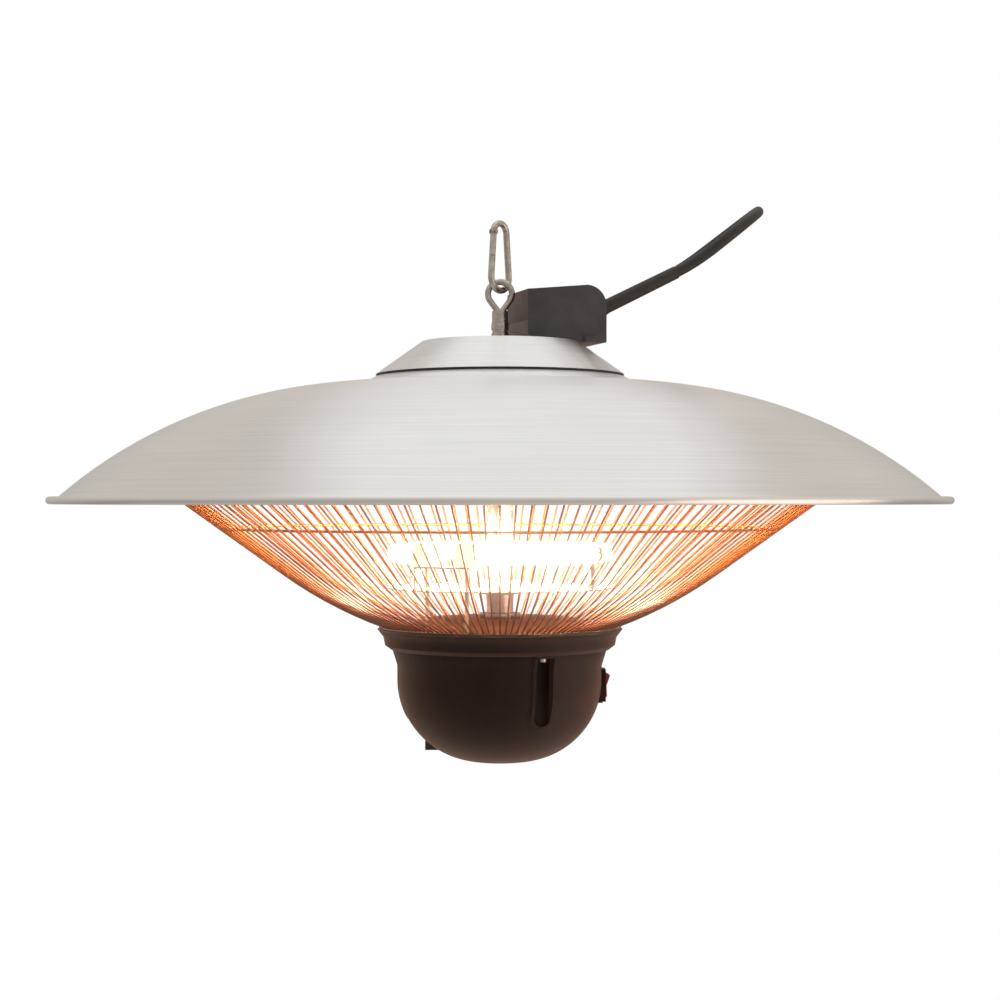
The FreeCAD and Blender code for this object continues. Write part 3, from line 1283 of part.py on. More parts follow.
PIECES = (
    snap_hook_body, snap_hook_gate, gate_rivet, eye_bolt, eye_flat_washer, eye_nuts, eye_spring_washer,
    top_cap, cap_seal, cap_plate, shade, column_tube, column_plug, column_nuts, reflector,
    grille_top_ring, grille_screws, grille_bottom_ring, grille_wires, grille_hoop,
    lamp_tube, lamp_filament, lamp_end_caps, lamp_leads, lamp_bracket, lamp_clips, lower_plate,
    bowl_cover, bowl, bowl_screws, receiver_window,
    switch_housing, rocker_button, switch_terminals, switch_wires,
    control_board, board_standoffs, board_screws, board_relay,
    box_base, box_lid, box_lid_screws, box_mount_screws, box_mount_nuts, terminal_block,
    cable_grommet, inner_cable, cord_gland, cord_boot, cord_lead, cord_coil, cord_tie, cord_tail,
    plug_body, plug_pins)

os.makedirs("parts", exist_ok=True)
for piece in PIECES:
    export(piece.__name__, piece())
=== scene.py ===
import json
import math

import bmesh
import bpy
import numpy as np
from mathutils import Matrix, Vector


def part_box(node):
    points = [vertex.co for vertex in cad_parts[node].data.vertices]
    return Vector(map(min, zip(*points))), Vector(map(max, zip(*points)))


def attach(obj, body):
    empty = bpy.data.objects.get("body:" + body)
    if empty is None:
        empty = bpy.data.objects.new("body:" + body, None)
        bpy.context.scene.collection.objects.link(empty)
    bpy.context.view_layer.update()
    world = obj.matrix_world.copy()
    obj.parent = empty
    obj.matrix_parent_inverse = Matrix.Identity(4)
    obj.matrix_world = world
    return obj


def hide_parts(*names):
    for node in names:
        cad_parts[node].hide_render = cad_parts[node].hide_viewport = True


# Hanging patio heater with its ring lamp lit. Metres, Z up, the origin is the hanging point.

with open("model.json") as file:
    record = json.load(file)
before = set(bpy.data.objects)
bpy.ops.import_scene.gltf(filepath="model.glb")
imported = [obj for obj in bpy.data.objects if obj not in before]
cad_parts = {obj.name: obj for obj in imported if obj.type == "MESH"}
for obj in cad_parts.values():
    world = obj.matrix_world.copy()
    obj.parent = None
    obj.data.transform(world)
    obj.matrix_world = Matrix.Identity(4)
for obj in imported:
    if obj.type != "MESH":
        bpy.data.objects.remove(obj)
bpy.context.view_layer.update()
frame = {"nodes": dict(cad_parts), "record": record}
nodes = frame["nodes"]
scene = bpy.context.scene
MM = 0.001
UP =np.array((0.0, 0.0, 1.0))
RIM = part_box("shade")[0].z

# Camera: level with the rim, straight in front
IMAGE_PIXELS = 1000
FOCAL_PIXELS = 1880
SENSOR = 36.0
CAMERA_DISTANCE = 1.276
CAMERA_ABOVE_RIM = 2.7 * MM


def make_camera():
    """Level camera whose lens gives the focal length in pixels."""
    data = bpy.data.cameras.new("camera")
    data.sensor_width = SENSOR
    data.lens = SENSOR * FOCAL_PIXELS / IMAGE_PIXELS
    camera = bpy.data.objects.new("camera", data)
    camera.location = (0, -CAMERA_DISTANCE, RIM + CAMERA_ABOVE_RIM)
    camera.rotation_euler = (math.radians(90), 0, 0)
    scene.collection.objects.link(camera)
    scene.camera = camera


make_camera()

# Materials: patterns keep most of their values between the low and the high one
PATTERN_LOW = 0.3
PATTERN_HIGH = 0.7
PATTERN_ROUGHNESS = 0.6
LAMP_GLOW = 220.0
# Heights of painted light: a painted glow of the lamp on the bowl's cover, and painted shade on the lower
# ends of the wires
PAINTED_GLOW_FROM = RIM - 85 * MM
PAINTED_GLOW_FULL = RIM - 80 * MM
PAINTED_SHADOW_FULL = RIM - 74 * MM
PAINTED_SHADOW_FROM = RIM - 30 * MM
# Printed marks of the rocker: their distance from its middle, their size and half the width of their lines
MARK_LIFT = 4.4 * MM
MARK_RADIUS = 1.7 * MM
MARK_LINE = 0.4 * MM
MARK_RING = 0.3 * MM


def linear(hex_colour):
    """Linear colour from an sRGB hex value."""
    channels = [int(hex_colour[start:start + 2], 16) / 255 for start in (0, 2, 4)]
    curve = [c / 12.92 if c <= 0.04045 else ((c + 0.055) / 1.055) ** 2.4 for c in channels]
    return (*curve, 1.0)


def add(tree, kind, values=None, links=None, **settings):
    """Adds one node with its settings, its input values and links from other nodes' outputs."""
    made = tree.nodes.new(kind)
    for name, value in settings.items():
        setattr(made, name, value)
    for name, value in (values or {}).items():
        made.inputs[name].default_value = value
    for name, output in (links or {}).items():
        tree.links.new(output, made.inputs[name])
    return made


def new_material(name, **values):
    """Material with one Principled shader; its values use underscores for spaces."""
    material = bpy.data.materials.new(name)
    material.use_nodes = True
    tree = material.node_tree
    shader = tree.nodes["Principled BSDF"]
    for socket, value in values.items():
        shader.inputs[socket.replace("_", " ")].default_value = value
    return material, tree, shader


def patches(tree, width, detail=3.0):
    """Pattern of soft patches of a width, in the object's own space."""
    place = add(tree, "ShaderNodeTexCoord").outputs["Object"]
    made = add(tree, "ShaderNodeTexNoise",
               {"Scale": 1 / width, "Detail": detail, "Roughness": PATTERN_ROUGHNESS}, {"Vector": place})
    return made.outputs["Fac"]


def lathe_marks(tree, width, waves, detail=3.0):
    """Pattern of marks round the axis: radius and height are counted in widths, the angle in waves."""
    place = add(tree, "ShaderNodeTexCoord").outputs["Object"]
    parts = add(tree, "ShaderNodeSeparateXYZ", links={"Vector": place}).outputs
    flat = add(tree, "ShaderNodeVectorMath", {1: (1, 1, 0)}, {0: place}, operation="MULTIPLY")
    radius = add(tree, "ShaderNodeVectorMath", links={0: flat.outputs[0]}, operation="LENGTH")
    angle = add(tree, "ShaderNodeMath", links={0: parts["Y"], 1: parts["X"]}, operation="ARCTAN2")
    joined = add(tree, "ShaderNodeCombineXYZ",
                 links={"X": radius.outputs["Value"], "Y": angle.outputs[0], "Z": parts["Z"]})
    counted = add(tree, "ShaderNodeVectorMath", {1: (1 / width, waves, 1 / width)}, {0: joined.outputs[0]},
                  operation="MULTIPLY")
    made = add(tree, "ShaderNodeTexNoise",
               {"Scale": 1.0, "Detail": detail, "Roughness": PATTERN_ROUGHNESS},
               {"Vector": counted.outputs[0]})
    return made.outputs["Fac"]


def tones(tree, pattern, dark, light, low=PATTERN_LOW, high=PATTERN_HIGH):
    """Colour that goes from a dark to a light tone as a pattern goes from its low to its high value."""
    share = add(tree, "ShaderNodeMapRange", {"From Min": low, "From Max": high}, {"Value": pattern})
    mixed = add(tree, "ShaderNodeMixRGB", {"Color1": linear(dark), "Color2": linear(light)},
                {"Fac": share.outputs["Result"]})
    return mixed.outputs["Color"]


def by_height(tree, low, high, below, above):
    """Colour that goes from one to another between two heights."""
    place = add(tree, "ShaderNodeTexCoord").outputs["Object"]
    height = add(tree, "ShaderNodeSeparateXYZ", links={"Vector": place}).outputs["Z"]
    share = add(tree, "ShaderNodeMapRange", {"From Min": low, "From Max": high}, {"Value": height})
    mixed = add(tree, "ShaderNodeMixRGB",
                links={"Fac": share.outputs["Result"], "Color1": below, "Color2": above})
    return mixed.outputs["Color"]


def dress(tree, shader, pattern, roughness, colour=None, grain=None, depth=0.0, strength=1.0):
    """Gives a shader a roughness that follows a pattern between two values, and where they are given a
    colour and the relief of a grain."""
    smooth, rough = roughness
    gloss = add(tree, "ShaderNodeMapRange", {"To Min": smooth, "To Max": rough}, {"Value": pattern})
    tree.links.new(gloss.outputs["Result"], shader.inputs["Roughness"])
    if colour:
        tree.links.new(colour, shader.inputs["Base Color"])
    if grain:
        relief = add(tree, "ShaderNodeBump", {"Strength": strength, "Distance": depth}, {"Height": grain})
        tree.links.new(relief.outputs["Normal"], shader.inputs["Normal"])


def spun_aluminium():
    """Spun aluminium brushed on the lathe: fine rings round the axis, which draw its gloss out into a fan.
    The real grit marks are about 0.1 mm apart; they are drawn 0.8 mm apart so that they show."""
    material, tree, shader = new_material(
        "spun_brushed_aluminium", Metallic=1.0, Anisotropic=0.8, Anisotropic_Rotation=0.25)
    rings = lathe_marks(tree, 0.8 * MM, 2.0)
    clouds = lathe_marks(tree, 60 * MM, 2.0, detail=2.0)
    mixed = add(tree, "ShaderNodeMix", {"Factor": 0.3}, {"A": rings, "B": clouds}, data_type="FLOAT")
    colour = tones(tree, mixed.outputs["Result"], "d3d2d1", "e6e5e4")
    dress(tree, shader, rings, (0.34, 0.42), colour, rings, 0.01 * MM, 0.4)
    tangent = add(tree, "ShaderNodeTangent", direction_type="RADIAL", axis="Z")
    tree.links.new(tangent.outputs[0], shader.inputs["Tangent"])
    return material


def bright_aluminium():
    """Polished reflector sheet: a soft mirror with faint turning marks."""
    material, tree, shader = new_material(
        "bright_rolled_aluminium", Base_Color=linear("efeeec"), Metallic=1.0)
    dress(tree, shader, lathe_marks(tree, 1.5 * MM, 4.0), (0.12, 0.2))
    return material


def moulded_plastic():
    """Black moulded thermoplastic with a fine eroded grain, drawn half a millimetre wide to show, that
    lightens it where it turns away. Its colour holds painted light: a lighter grey above the shade, where
    more light falls, a darker brown-black below it as painted shade, and a light brown painted glow of the
    lamp on top of the bowl's cover."""
    material, tree, shader = new_material(
        "black_moulded_plastic", IOR=1.5, Specular_IOR_Level=0.15, Sheen_Weight=0.4, Sheen_Roughness=0.5,
        Sheen_Tint=linear("d8a890"))
    grit = patches(tree, 0.5 * MM, detail=2.0)
    clouds = patches(tree, 18 * MM)
    # Painted light: lighter grey above the shade, where more light falls, and darker below it as painted
    # shade
    painted_light_above = tones(tree, clouds, "3c3d40", "494b4e")
    painted_shade_below = tones(tree, clouds, "110907", "1a0e0b")
    # Painted glow of the lamp on top of the bowl's cover
    painted_lamp_glow = tones(tree, clouds, "b07c5e", "c08c6e")
    below_rim = by_height(tree, PAINTED_GLOW_FROM, PAINTED_GLOW_FULL, painted_shade_below, painted_lamp_glow)
    colour = by_height(tree, RIM, RIM + MM, below_rim, painted_light_above)
    dress(tree, shader, clouds, (0.42, 0.58), colour, grit, 0.04 * MM, 0.5)
    return material


def quartz_lamp():
    """Quartz tube of a burning halogen lamp: it only shows as light."""
    return new_material("burning_quartz_lamp", Base_Color=linear("fff0d8"), Roughness=0.1,
                        Emission_Color=linear("ffdcb8"), Emission_Strength=LAMP_GLOW)[0]


def rubber():
    """Black rubber sheath: matt, a little dusty, with a fine grain drawn 0.6 mm wide to show."""
    material, tree, shader = new_material("black_rubber", IOR=1.5)
    dust = patches(tree, 6 * MM)
    colour = tones(tree, dust, "181716", "2c2a29", high=0.75)
    dress(tree, shader, dust, (0.5, 0.68), colour, patches(tree, 0.6 * MM, detail=2.0), 0.03 * MM, 0.4)
    return material


def lacquered_wire():
    """Steel wire with a satin bronze lacquer, darker brown towards its lower end: painted shade where the
    lower plate shades it from the lamp.
    """
    material, tree, shader = new_material("bronze_lacquered_wire")
    shades = patches(tree, 30 * MM)
    # Painted shade: the darker brown of the lower ends, which the lower plate shades from the lamp
    painted_plate_shadow = tones(tree, shades, "582a12", "6a371c")
    fresh = tones(tree, shades, "b0642c", "c2763c")
    dress(tree, shader, shades, (0.38, 0.5), by_height(tree, PAINTED_SHADOW_FULL, PAINTED_SHADOW_FROM, painted_plate_shadow, fresh))
    return material


def rocker_red():
    """Glossy red polycarbonate with the usual printed marks: a white line on the lower half, which is pressed
    in when the heater is on, and a ring on the upper half for off. The line is the places near its middle in
    width and height, the ring those whose distance from its centre is near its radius."""
    material, tree, shader = new_material("red_polycarbonate", Roughness=0.15)
    low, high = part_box("rocker_button")
    middle = (low.z + high.z) / 2
    whole = add(tree, "ShaderNodeTexCoord").outputs["Object"]
    place = add(tree, "ShaderNodeSeparateXYZ", links={"Vector": whole}).outputs
    line_across = add(tree, "ShaderNodeMath", {1: 0.0, 2: MARK_LINE}, {0: place["Y"]}, operation="COMPARE")
    line_along = add(tree, "ShaderNodeMath", {1: middle - MARK_LIFT, 2: MARK_RADIUS}, {0: place["Z"]},
                     operation="COMPARE")
    line = add(tree, "ShaderNodeMath", links={0: line_across.outputs[0], 1: line_along.outputs[0]},
               operation="MULTIPLY")
    height = add(tree, "ShaderNodeMath", {1: middle + MARK_LIFT}, {0: place["Z"]}, operation="SUBTRACT")
    flat = add(tree, "ShaderNodeCombineXYZ", links={"X": place["Y"], "Y": height.outputs[0]})
    reach = add(tree, "ShaderNodeVectorMath", links={0: flat.outputs[0]}, operation="LENGTH")
    ring = add(tree, "ShaderNodeMath", {1: MARK_RADIUS, 2: MARK_RING}, {0: reach.outputs["Value"]},
               operation="COMPARE")
    mark = add(tree, "ShaderNodeMath", links={0: line.outputs[0], 1: ring.outputs[0]}, operation="MAXIMUM")
    tree.links.new(tones(tree, mark.outputs[0], "84190f", "e8e4dc"), shader.inputs["Base Color"])
    return material


def plain(name, dark, light, width, roughness, metallic=0.0, glow=0.0):
    """Small part in one material with slight tone changes of a width in millimetres. A hot one glows, and a
    faint glow can also stand for painted lamp light.
    """
    material, tree, shader = new_material(name, Metallic=metallic, Emission_Color=linear(light),
                                          Emission_Strength=glow)
    shades = patches(tree, width * MM)
    dress(tree, shader, shades, roughness, tones(tree, shades, dark, light))
    return material


FINISHES = {
    "brushed_aluminium": spun_aluminium(),
    "polished_aluminium": bright_aluminium(),
    "bronze_wire": lacquered_wire(),
    "lamp_glass": quartz_lamp(),
    "black_plastic": moulded_plastic(),
    "rocker_plastic": rocker_red(),
    "black_rubber": rubber(),
    # Zinc plating with blotches a few millimetres wide: warm grey, satin
    "zinc_plated_steel": plain("zinc_plated_steel", "a39b92", "c9c2b8", 4, (0.24, 0.42), metallic=1.0),
    # Bright zinc: clean pale grey, a blurred mirror
    "steel": plain("bright_zinc_steel", "b5aea6", "d2cdc6", 10, (0.2, 0.32), metallic=1.0),
    # Baked black lacquer: satin, with a brownish cast that is painted light from the lamp
    "black_steel": plain("black_lacquered_steel", "2a2220", "352b28", 12, (0.4, 0.52)),
    # Drawn tungsten, white hot
    "tungsten": plain("tungsten_coil", "ffd9a0", "ffe6bd", 2, (0.35, 0.5), metallic=1.0, glow=20.0),
    # Fired steatite: matt cream, with a faint glow that is painted light from the lamp
    "ceramic": plain("steatite_ceramic", "e0d2bc", "f6e6cc", 3, (0.55, 0.7), glow=0.7),
    # Woven glass fibre sleeve: matt straw colour
    "silicone_lead": plain("glass_fibre_sleeve", "d2bda4", "e2cfb8", 5, (0.45, 0.6)),
    # Cast acrylic that lets the remote's light through: nearly black red, glossy
    "receiver_plastic": plain("dark_red_acrylic", "2c0d0c", "381211", 8, (0.08, 0.15)),
    # Turned brass: warm yellow with soft gloss
    "brass": plain("turned_brass", "b08a45", "c9a35c", 4, (0.2, 0.32), metallic=1.0),
    # Solder mask on a board: green, half gloss
    "circuit_board": plain("green_solder_mask", "0f4a22", "175c2c", 4, (0.3, 0.42)),
    # Moulded relay case: blue, half gloss
    "relay_plastic": plain("blue_relay_case", "16284e", "1d3360", 6, (0.3, 0.42)),
    # Moulded nylon in its own colour: milky white, satin
    "terminal_plastic": plain("natural_nylon", "d8d6cc", "e6e4da", 6, (0.4, 0.52)),
    # Woven nylon: black, matt
    "tie_plastic": plain("woven_nylon_strap", "141313", "201f1e", 1.5, (0.7, 0.85)),
}

SLOT_OF = {subpart["node"]: subpart["material_slot"] for subpart in frame["record"]["subparts"]}
for name, slot in SLOT_OF.items():
    surface = nodes[name].data
    surface.materials.clear()
    surface.materials.append(FINISHES[slot])

# Pieces drawn finer than the solids: the widths of rounded edges are in millimetres
ROUNDED_EDGES = {
    "top_cap": 1.0, "cap_plate": 0.6, "bowl_cover": 0.7, "bowl": 0.7, "box_base": 0.5, "box_lid": 1.2,
    "switch_housing": 0.5, "rocker_button": 0.4, "plug_body": 1.2, "eye_nuts": 0.4, "column_nuts": 0.5,
    "cord_boot": 1.0, "cord_gland": 0.5}
EDGE_STEPS = 3
EDGE_ANGLE = math.radians(30)
FLAT_ANGLE = math.radians(0.5)
SHARP_ANGLE = math.radians(40)
WELD = 0.001 * MM

# Shade: a flat top, an arc that starts level, a lip and a rolled bead
SKIN_STEPS = 360
DOME_STEPS = 48
BEAD_STEPS = 30
BEAD_FROM = 155
BEAD_TO = -170
SHADE_FLAT_RADIUS = 92 * MM
SHADE_SHEET = 1 * MM
RIM_BEAD = 5 * MM
LIP_WIDTH = 4.5 * MM
LIP_RISE = 1.5 * MM
COLUMN_HOLE = 9.15 * MM
SHADE_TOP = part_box("shade")[1].z
BEAD_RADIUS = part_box("shade")[1].x - RIM_BEAD / 2
BEAD_HEIGHT = RIM + RIM_BEAD / 2
DOME_REACH = BEAD_RADIUS - LIP_WIDTH - SHADE_FLAT_RADIUS
DOME_DROP = SHADE_TOP - BEAD_HEIGHT - LIP_RISE
DOME_BEND = (DOME_REACH ** 2 + DOME_DROP ** 2) / (2 * DOME_DROP)


def new_piece(name, mesh, slot, body, *stands_for):
    """Object at the origin that rides a body and has the finish of a slot."""
    mesh.materials.append(FINISHES[slot])
    piece = bpy.data.objects.new(name, mesh)
    scene.collection.objects.link(piece)
    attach(piece, body)
    if stands_for:
        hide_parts(*stands_for)
    return piece


def rounded_copy(name, width):
    """Copy of a node with its flat triangles joined, its sharp edges rounded by a width in millimetres and
    smooth shading."""
    form = bmesh.new()
    form.from_mesh(nodes[name].data)
    bmesh.ops.remove_doubles(form, verts=form.verts, dist=WELD)
    bmesh.ops.dissolve_limit(form, angle_limit=FLAT_ANGLE, verts=form.verts, edges=form.edges)
    mesh = bpy.data.meshes.new("rounded_" + name)
    form.to_mesh(mesh)
    form.free()
    mesh.shade_smooth()
    body = "rocker" if name == "rocker_button" else "heater"
    piece = new_piece("rounded_" + name, mesh, SLOT_OF[name], body, name)
    edges = piece.modifiers.new("rounded_edges", "BEVEL")
    edges.width = width * MM
    edges.segments = EDGE_STEPS
    edges.limit_method = "ANGLE"
    edges.angle_limit = EDGE_ANGLE
    edges.harden_normals = True
    return piece


def closed_grid(name, places):
    """Mesh of a grid of places whose rows and columns both close on themselves: each place is joined to the
    next in its row and the next in its column by a face."""
    rows, steps = places.shape[:2]
    row, step = np.indices((rows, steps))
    next_row = (row + 1) % rows * steps
    next_step = (step + 1) % steps
    row = row * steps
    faces = np.stack([row + step, next_row + step, next_row + next_step, row + next_step], axis=-1)
    mesh = bpy.data.meshes.new(name)
    mesh.from_pydata(places.reshape(-1, 3).tolist(), [], faces.reshape(-1, 4).tolist())
    mesh.shade_smooth()
    mesh.set_sharp_from_angle(angle=SHARP_ANGLE)
    return mesh


def shade_outline():
    """Radii and heights of the shade's section: the outer face of the dome from its hole outwards, round the
    bead and back inside. The dome is a circle's arc from its top down to its lean at the lip."""
    lean = np.linspace(0, math.asin(DOME_REACH / DOME_BEND), DOME_STEPS)
    level = SHADE_TOP - DOME_BEND

    def arc(size):
        return np.column_stack([SHADE_FLAT_RADIUS + size * np.sin(lean), level + size * np.cos(lean)])

    angle = np.radians(np.linspace(BEAD_FROM, BEAD_TO, BEAD_STEPS))
    bead = np.column_stack([BEAD_RADIUS + RIM_BEAD / 2 * np.cos(angle),
                            BEAD_HEIGHT + RIM_BEAD / 2 * np.sin(angle)])
    return np.vstack([[(COLUMN_HOLE, SHADE_TOP)], arc(DOME_BEND), bead, arc(DOME_BEND - SHADE_SHEET)[::-1],
                      [(COLUMN_HOLE, SHADE_TOP - SHADE_SHEET)]])


def make_shade():
    """Section of the shade turned about the axis: each of its points goes round a circle of its radius at
    its height."""
    radius, height = shade_outline().T
    turn = np.linspace(0, 2 * np.pi, SKIN_STEPS, endpoint=False)
    places = np.stack([np.outer(radius, np.cos(turn)), np.outer(radius, np.sin(turn)),
                       np.repeat(height[:, None], SKIN_STEPS, axis=1)], axis=-1)
    new_piece("spun_shade", closed_grid("spun_shade", places), "brushed_aluminium", "heater", "shade")


make_shade()
rounded = {name: rounded_copy(name, width) for name, width in ROUNDED_EDGES.items()}

# Mains cord: a free lead from the boot, a coil on the back of the dome and a tail to the plug
CORD = 7.8 * MM
CORD_SIDES = 5
CORD_STEPS = 6
# The cord leaves the turned box at a reach from the axis and a height above the cap, and rises in its boot
EXIT_REACH = 69 * MM
EXIT_HEIGHT = 22.6 * MM
EXIT_TURN = math.radians(18)
EXIT_RISE = math.radians(26.2)
BOOT_REACH = 68 * MM
LEAD_START_RUN = 16 * MM
LEAD_END_RUN = 20 * MM
TAIL_RUN = 26 * MM
# Places that the free lead passes, in millimetres, with heights above the rim
LEAD_PLACES = (
    (167, 44.5, 193), (187.5, 71.5, 211), (186, 109.5, 212.5), (164, 136.5, 197), (135.5, 137, 175.5),
    (105.5, 140, 160.5), (79.5, 136, 147.5), (54, 122, 122), (35, 114.5, 100))
COIL_PLACE = (-22 * MM, 156 * MM)
COIL_LIFT = 1.9 * MM
COIL_RADIUS = 55 * MM
COIL_PITCH = 8.4 * MM
COIL_HALF_TURNS = 9
COIL_START = -0.99
COIL_STEP = 0.25
POINTS_PER_HALF_TURN = 8
PLUG_PLACE_RADIUS = 220 * MM
PLUG_AZIMUTH = math.radians(64)
PLUG_YAW = math.radians(14)
PLUG_LIFT = 0.3 * MM
PLUG_FACE = 37 * MM
PLUG_FACE_LENGTH = 14 * MM
PLUG_LENGTH = 56 * MM
STRAP_WIDTH = 6 * MM
STRAP = 1.2 * MM
STRAP_ROUND = 3.5 * MM
STRAP_TURN = math.radians(112)
STRAP_CLEARANCE = 0.25 * MM
STRAP_CORNER_STEPS = 8


def on_dome(radius, azimuth):
    """Place on the dome's outer face and the way straight out of it: the sine of its lean is the radius past
    the flat top over the bend."""
    lean = math.asin((radius - SHADE_FLAT_RADIUS) / DOME_BEND)
    direction = np.array((math.cos(azimuth), math.sin(azimuth), 0.0))
    foot = direction * radius + UP * (SHADE_TOP - DOME_BEND + DOME_BEND * math.cos(lean))
    return foot, direction * math.sin(lean) + UP * math.cos(lean)


# The boot's way and end, and the coil's centre with the ways away from the axis, aside and out of the dome
BOOT_WAY = np.array((math.cos(EXIT_RISE) * math.cos(EXIT_TURN), math.cos(EXIT_RISE) * math.sin(EXIT_TURN),
                     math.sin(EXIT_RISE)))
BOOT_START = np.array((EXIT_REACH * math.cos(EXIT_TURN), EXIT_REACH * math.sin(EXIT_TURN),
                       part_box("top_cap")[1].z + EXIT_HEIGHT))
BOOT_END = BOOT_START + BOOT_WAY * BOOT_REACH
COIL_AZIMUTH = math.atan2(COIL_PLACE[1], COIL_PLACE[0])
COIL_FOOT, COIL_OUTWARD = on_dome(math.hypot(*COIL_PLACE), COIL_AZIMUTH)
COIL_CENTRE = COIL_FOOT + COIL_OUTWARD * (COIL_LIFT + CORD / 2)
COIL_ASIDE = np.array((-math.sin(COIL_AZIMUTH), math.cos(COIL_AZIMUTH), 0.0))
COIL_OUTER_WAY = np.cross(COIL_ASIDE, COIL_OUTWARD)


def coil_at(turn, widen=1.0):
    """Places of the coil after numbers of half turns: it spirals in by half a pitch each, climbs one layer at
    its middle and spirals out."""
    turn = np.asarray(turn, float)
    middle = COIL_HALF_TURNS / 2
    radius = widen * (COIL_RADIUS - COIL_PITCH / 2 * (middle - np.abs(turn - middle)))
    climb = np.clip(turn - middle + 0.5, 0, 1)
    angle = np.pi * (COIL_START - turn)
    return (COIL_CENTRE + np.outer(radius * np.cos(angle), COIL_OUTER_WAY)
            + np.outer(radius * np.sin(angle), COIL_ASIDE) + np.outer(climb * COIL_PITCH, COIL_OUTWARD))


def coil_end(turn, side):
    """Place one cord's width straight on past an end of the coil, and the way there."""
    before, end, after = coil_at((turn - COIL_STEP, turn, turn + COIL_STEP))
    way = (after - before) / np.linalg.norm(after - before)
    return end + side * CORD * way, way


def plug_end():
    """Place where the cord enters the plug, and the plug's way: it lies on the dome and points round the rim,
    turned downhill by its yaw."""
    foot, outward = on_dome(PLUG_PLACE_RADIUS, PLUG_AZIMUTH)
    round_rim = np.array((math.sin(PLUG_AZIMUTH), -math.cos(PLUG_AZIMUTH), 0.0))
    way = round_rim * math.cos(PLUG_YAW) + np.cross(outward, round_rim) * math.sin(PLUG_YAW)
    face = foot + outward * (PLUG_FACE / 2 + PLUG_LIFT)
    return face - way * (PLUG_LENGTH - PLUG_FACE_LENGTH / 2), way


def cord_points():
    """Control points of the cord from the boot to the plug. Those of the coil stand a little outside, so that
    the smooth line runs on the turns."""
    lead = np.array(LEAD_PLACES) * MM + UP * RIM
    meet, meet_way = coil_end(0, -1)
    turns = np.linspace(0, COIL_HALF_TURNS, COIL_HALF_TURNS * POINTS_PER_HALF_TURN + 1)
    coil = coil_at(turns, 1 / math.cos(math.pi / POINTS_PER_HALF_TURN / 2))
    leave, leave_way = coil_end(COIL_HALF_TURNS, 1)
    plug, plug_way = plug_end()
    return np.vstack([
        BOOT_END, BOOT_END + BOOT_WAY * LEAD_START_RUN, lead, meet - meet_way * LEAD_END_RUN, meet, coil,
        leave, leave + leave_way * TAIL_RUN, plug - plug_way * TAIL_RUN, plug])


def make_strap():
    """Band of a rounded rectangle: its four corners are quarter circles, and each of its points has
    a face inside and outside, left and right."""
    inner = COIL_RADIUS - COIL_PITCH / 4 * COIL_HALF_TURNS - CORD / 2 - STRAP_CLEARANCE + STRAP_ROUND
    outer = COIL_RADIUS + CORD / 2 + STRAP_CLEARANCE - STRAP_ROUND
    low = -CORD / 2 - STRAP_CLEARANCE + STRAP_ROUND
    high = COIL_PITCH + CORD / 2 + STRAP_CLEARANCE - STRAP_ROUND
    corners = np.repeat([(outer, high), (inner, high), (inner, low), (outer, low)],
                        STRAP_CORNER_STEPS, axis=0)
    angle = (np.repeat(np.arange(4) * np.pi / 2, STRAP_CORNER_STEPS)
             + np.tile(np.linspace(0, np.pi / 2, STRAP_CORNER_STEPS), 4))
    way = np.column_stack([np.cos(angle), np.sin(angle)])
    along = math.cos(STRAP_TURN) * COIL_OUTER_WAY + math.sin(STRAP_TURN) * COIL_ASIDE
    across = math.cos(STRAP_TURN) * COIL_ASIDE - math.sin(STRAP_TURN) * COIL_OUTER_WAY
    rows = []
    for thickness, side in ((0, 1), (STRAP, 1), (STRAP, -1), (0, -1)):
        flat = corners + way * (STRAP_ROUND + thickness)
        rows.append(COIL_CENTRE + flat[:, :1] * along + flat[:, 1:] * COIL_OUTWARD
                    + side * STRAP_WIDTH / 2 * across)
    band = closed_grid("coil_strap", np.array(rows))
    return new_piece("coil_strap", band, "tie_plastic", "heater", "cord_tie")


def make_cord():
    """Round tube along one smooth line through the cord's points, from the boot to the plug; the strap round
    the coil is made with it.
    """
    points = cord_points()
    curve = bpy.data.curves.new("mains_cord", "CURVE")
    curve.dimensions = "3D"
    curve.bevel_depth = CORD / 2
    curve.bevel_resolution = CORD_SIDES
    curve.resolution_u = CORD_STEPS
    curve.use_fill_caps = True
    spline = curve.splines.new("NURBS")
    spline.points.add(len(points) - 1)
    spline.points.foreach_set("co", np.column_stack([points, np.ones(len(points))]).ravel())
    spline.order_u = 3
    spline.use_endpoint_u = True
    curve.materials.append(FINISHES["black_rubber"])
    cord = bpy.data.objects.new("mains_cord", curve)
    scene.collection.objects.link(cord)
    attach(cord, "heater")
    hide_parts("cord_lead", "cord_coil", "cord_tail")
    make_strap()


make_cord()

# Stage: white surroundings, a large soft light overhead, a warm one at the side and a pale floor far below
LIGHT_ABOVE = 0.78
LIGHT_BELOW = 0.3
LIGHT_BLEND = 0.5
FLOOR_DROP = 1.8
FLOOR_RADIUS = 2.6
FLOOR_STEPS = 96
BLOOM = {"Threshold": 1.6, "Clamp": True, "Maximum": 4.0, "Strength": 0.25, "Size": 0.12}


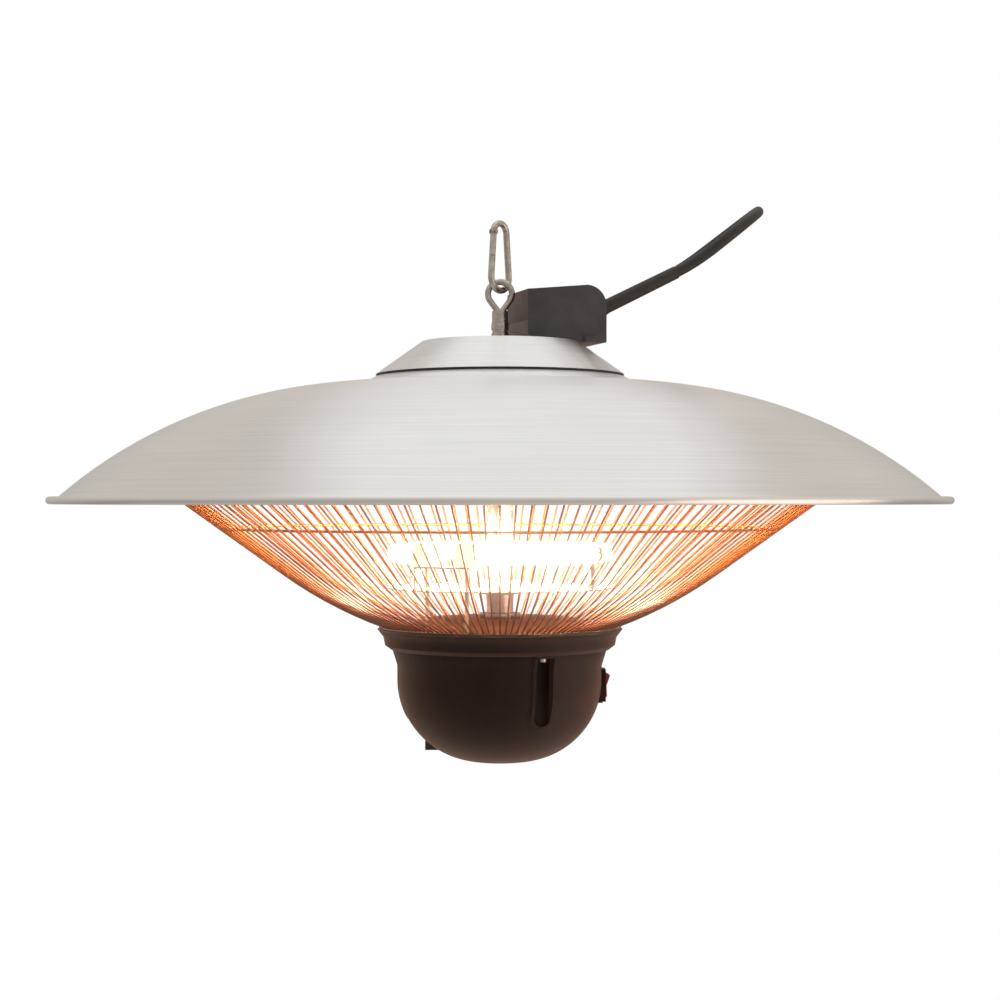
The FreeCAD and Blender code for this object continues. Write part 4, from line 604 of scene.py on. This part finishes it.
def make_world():
    """White behind the object; for the light on it, warm surroundings that are brighter above than below."""
    world = bpy.data.worlds.new("white_studio")
    world.use_nodes = True
    tree = world.node_tree
    seen = tree.nodes["Background"]
    seen.inputs["Color"].default_value = linear("ffffff")
    way = add(tree, "ShaderNodeTexCoord").outputs["Generated"]
    height = add(tree, "ShaderNodeSeparateXYZ", links={"Vector": way}).outputs["Z"]
    strength = add(tree, "ShaderNodeMapRange",
                   {"From Min": -LIGHT_BLEND, "From Max": LIGHT_BLEND, "To Min": LIGHT_BELOW,
                    "To Max": LIGHT_ABOVE}, {"Value": height})
    around = add(tree, "ShaderNodeBackground", {"Color": linear("fff8f0")},
                 {"Strength": strength.outputs["Result"]})
    ray = add(tree, "ShaderNodeLightPath")
    mixed = add(tree, "ShaderNodeMixShader", links={0: ray.outputs["Is Camera Ray"], 1: around.outputs[0],
                                                    2: seen.outputs[0]})
    tree.links.new(mixed.outputs[0], tree.nodes["World Output"].inputs["Surface"])
    scene.world = world


def soft_light(name, place, aim, width, height, power, colour):
    """Rectangular light at a place that faces its aim."""
    data = bpy.data.lights.new(name, "AREA")
    data.color = linear(colour)[:3]
    data.shape = "RECTANGLE"
    data.size = width
    data.size_y = height
    data.energy = power
    light = bpy.data.objects.new(name, data)
    light.location = place
    light.rotation_euler = Vector(np.subtract(aim, place)).to_track_quat("-Z", "Y").to_euler()
    scene.collection.objects.link(light)


def make_floor():
    """Flat disc: one face round a circle of points."""
    angle = np.linspace(0, 2 * np.pi, FLOOR_STEPS, endpoint=False)
    edge = np.column_stack([FLOOR_RADIUS * np.cos(angle), FLOOR_RADIUS * np.sin(angle),
                            np.full(FLOOR_STEPS, -FLOOR_DROP)])
    mesh = bpy.data.meshes.new("pale_floor")
    mesh.from_pydata(edge.tolist(), [], [list(range(FLOOR_STEPS))])
    mesh.materials.append(plain("pale_floor", "dedbd8", "e1deda", 200, (0.8, 0.9)))
    floor = bpy.data.objects.new("pale_floor", mesh)
    scene.collection.objects.link(floor)


def make_bloom():
    """Glow of the burning lamp in the lens."""
    scene.use_nodes = True
    tree = scene.node_tree
    tree.nodes.clear()
    layers = add(tree, "CompositorNodeRLayers")
    glow = add(tree, "CompositorNodeGlare", BLOOM, {"Image": layers.outputs["Image"]}, glare_type="BLOOM")
    add(tree, "CompositorNodeComposite", links={"Image": glow.outputs["Image"]})


make_world()
make_floor()
soft_light("overhead_softbox", place=(0.08, 0.35, RIM + 1.6), aim=(0.08, 0.35, RIM), width=1.75, height=2.4,
           power=7.4, colour="e8f6ff")
soft_light("side_fill", place=(1.3, -0.5, RIM - 0.6), aim=(0, 0, RIM - 0.14), width=1.6, height=1.6,
           power=12, colour="ffe0cc")
make_bloom()

scene.view_settings.view_transform = "Standard"
scene.view_settings.look = "None"
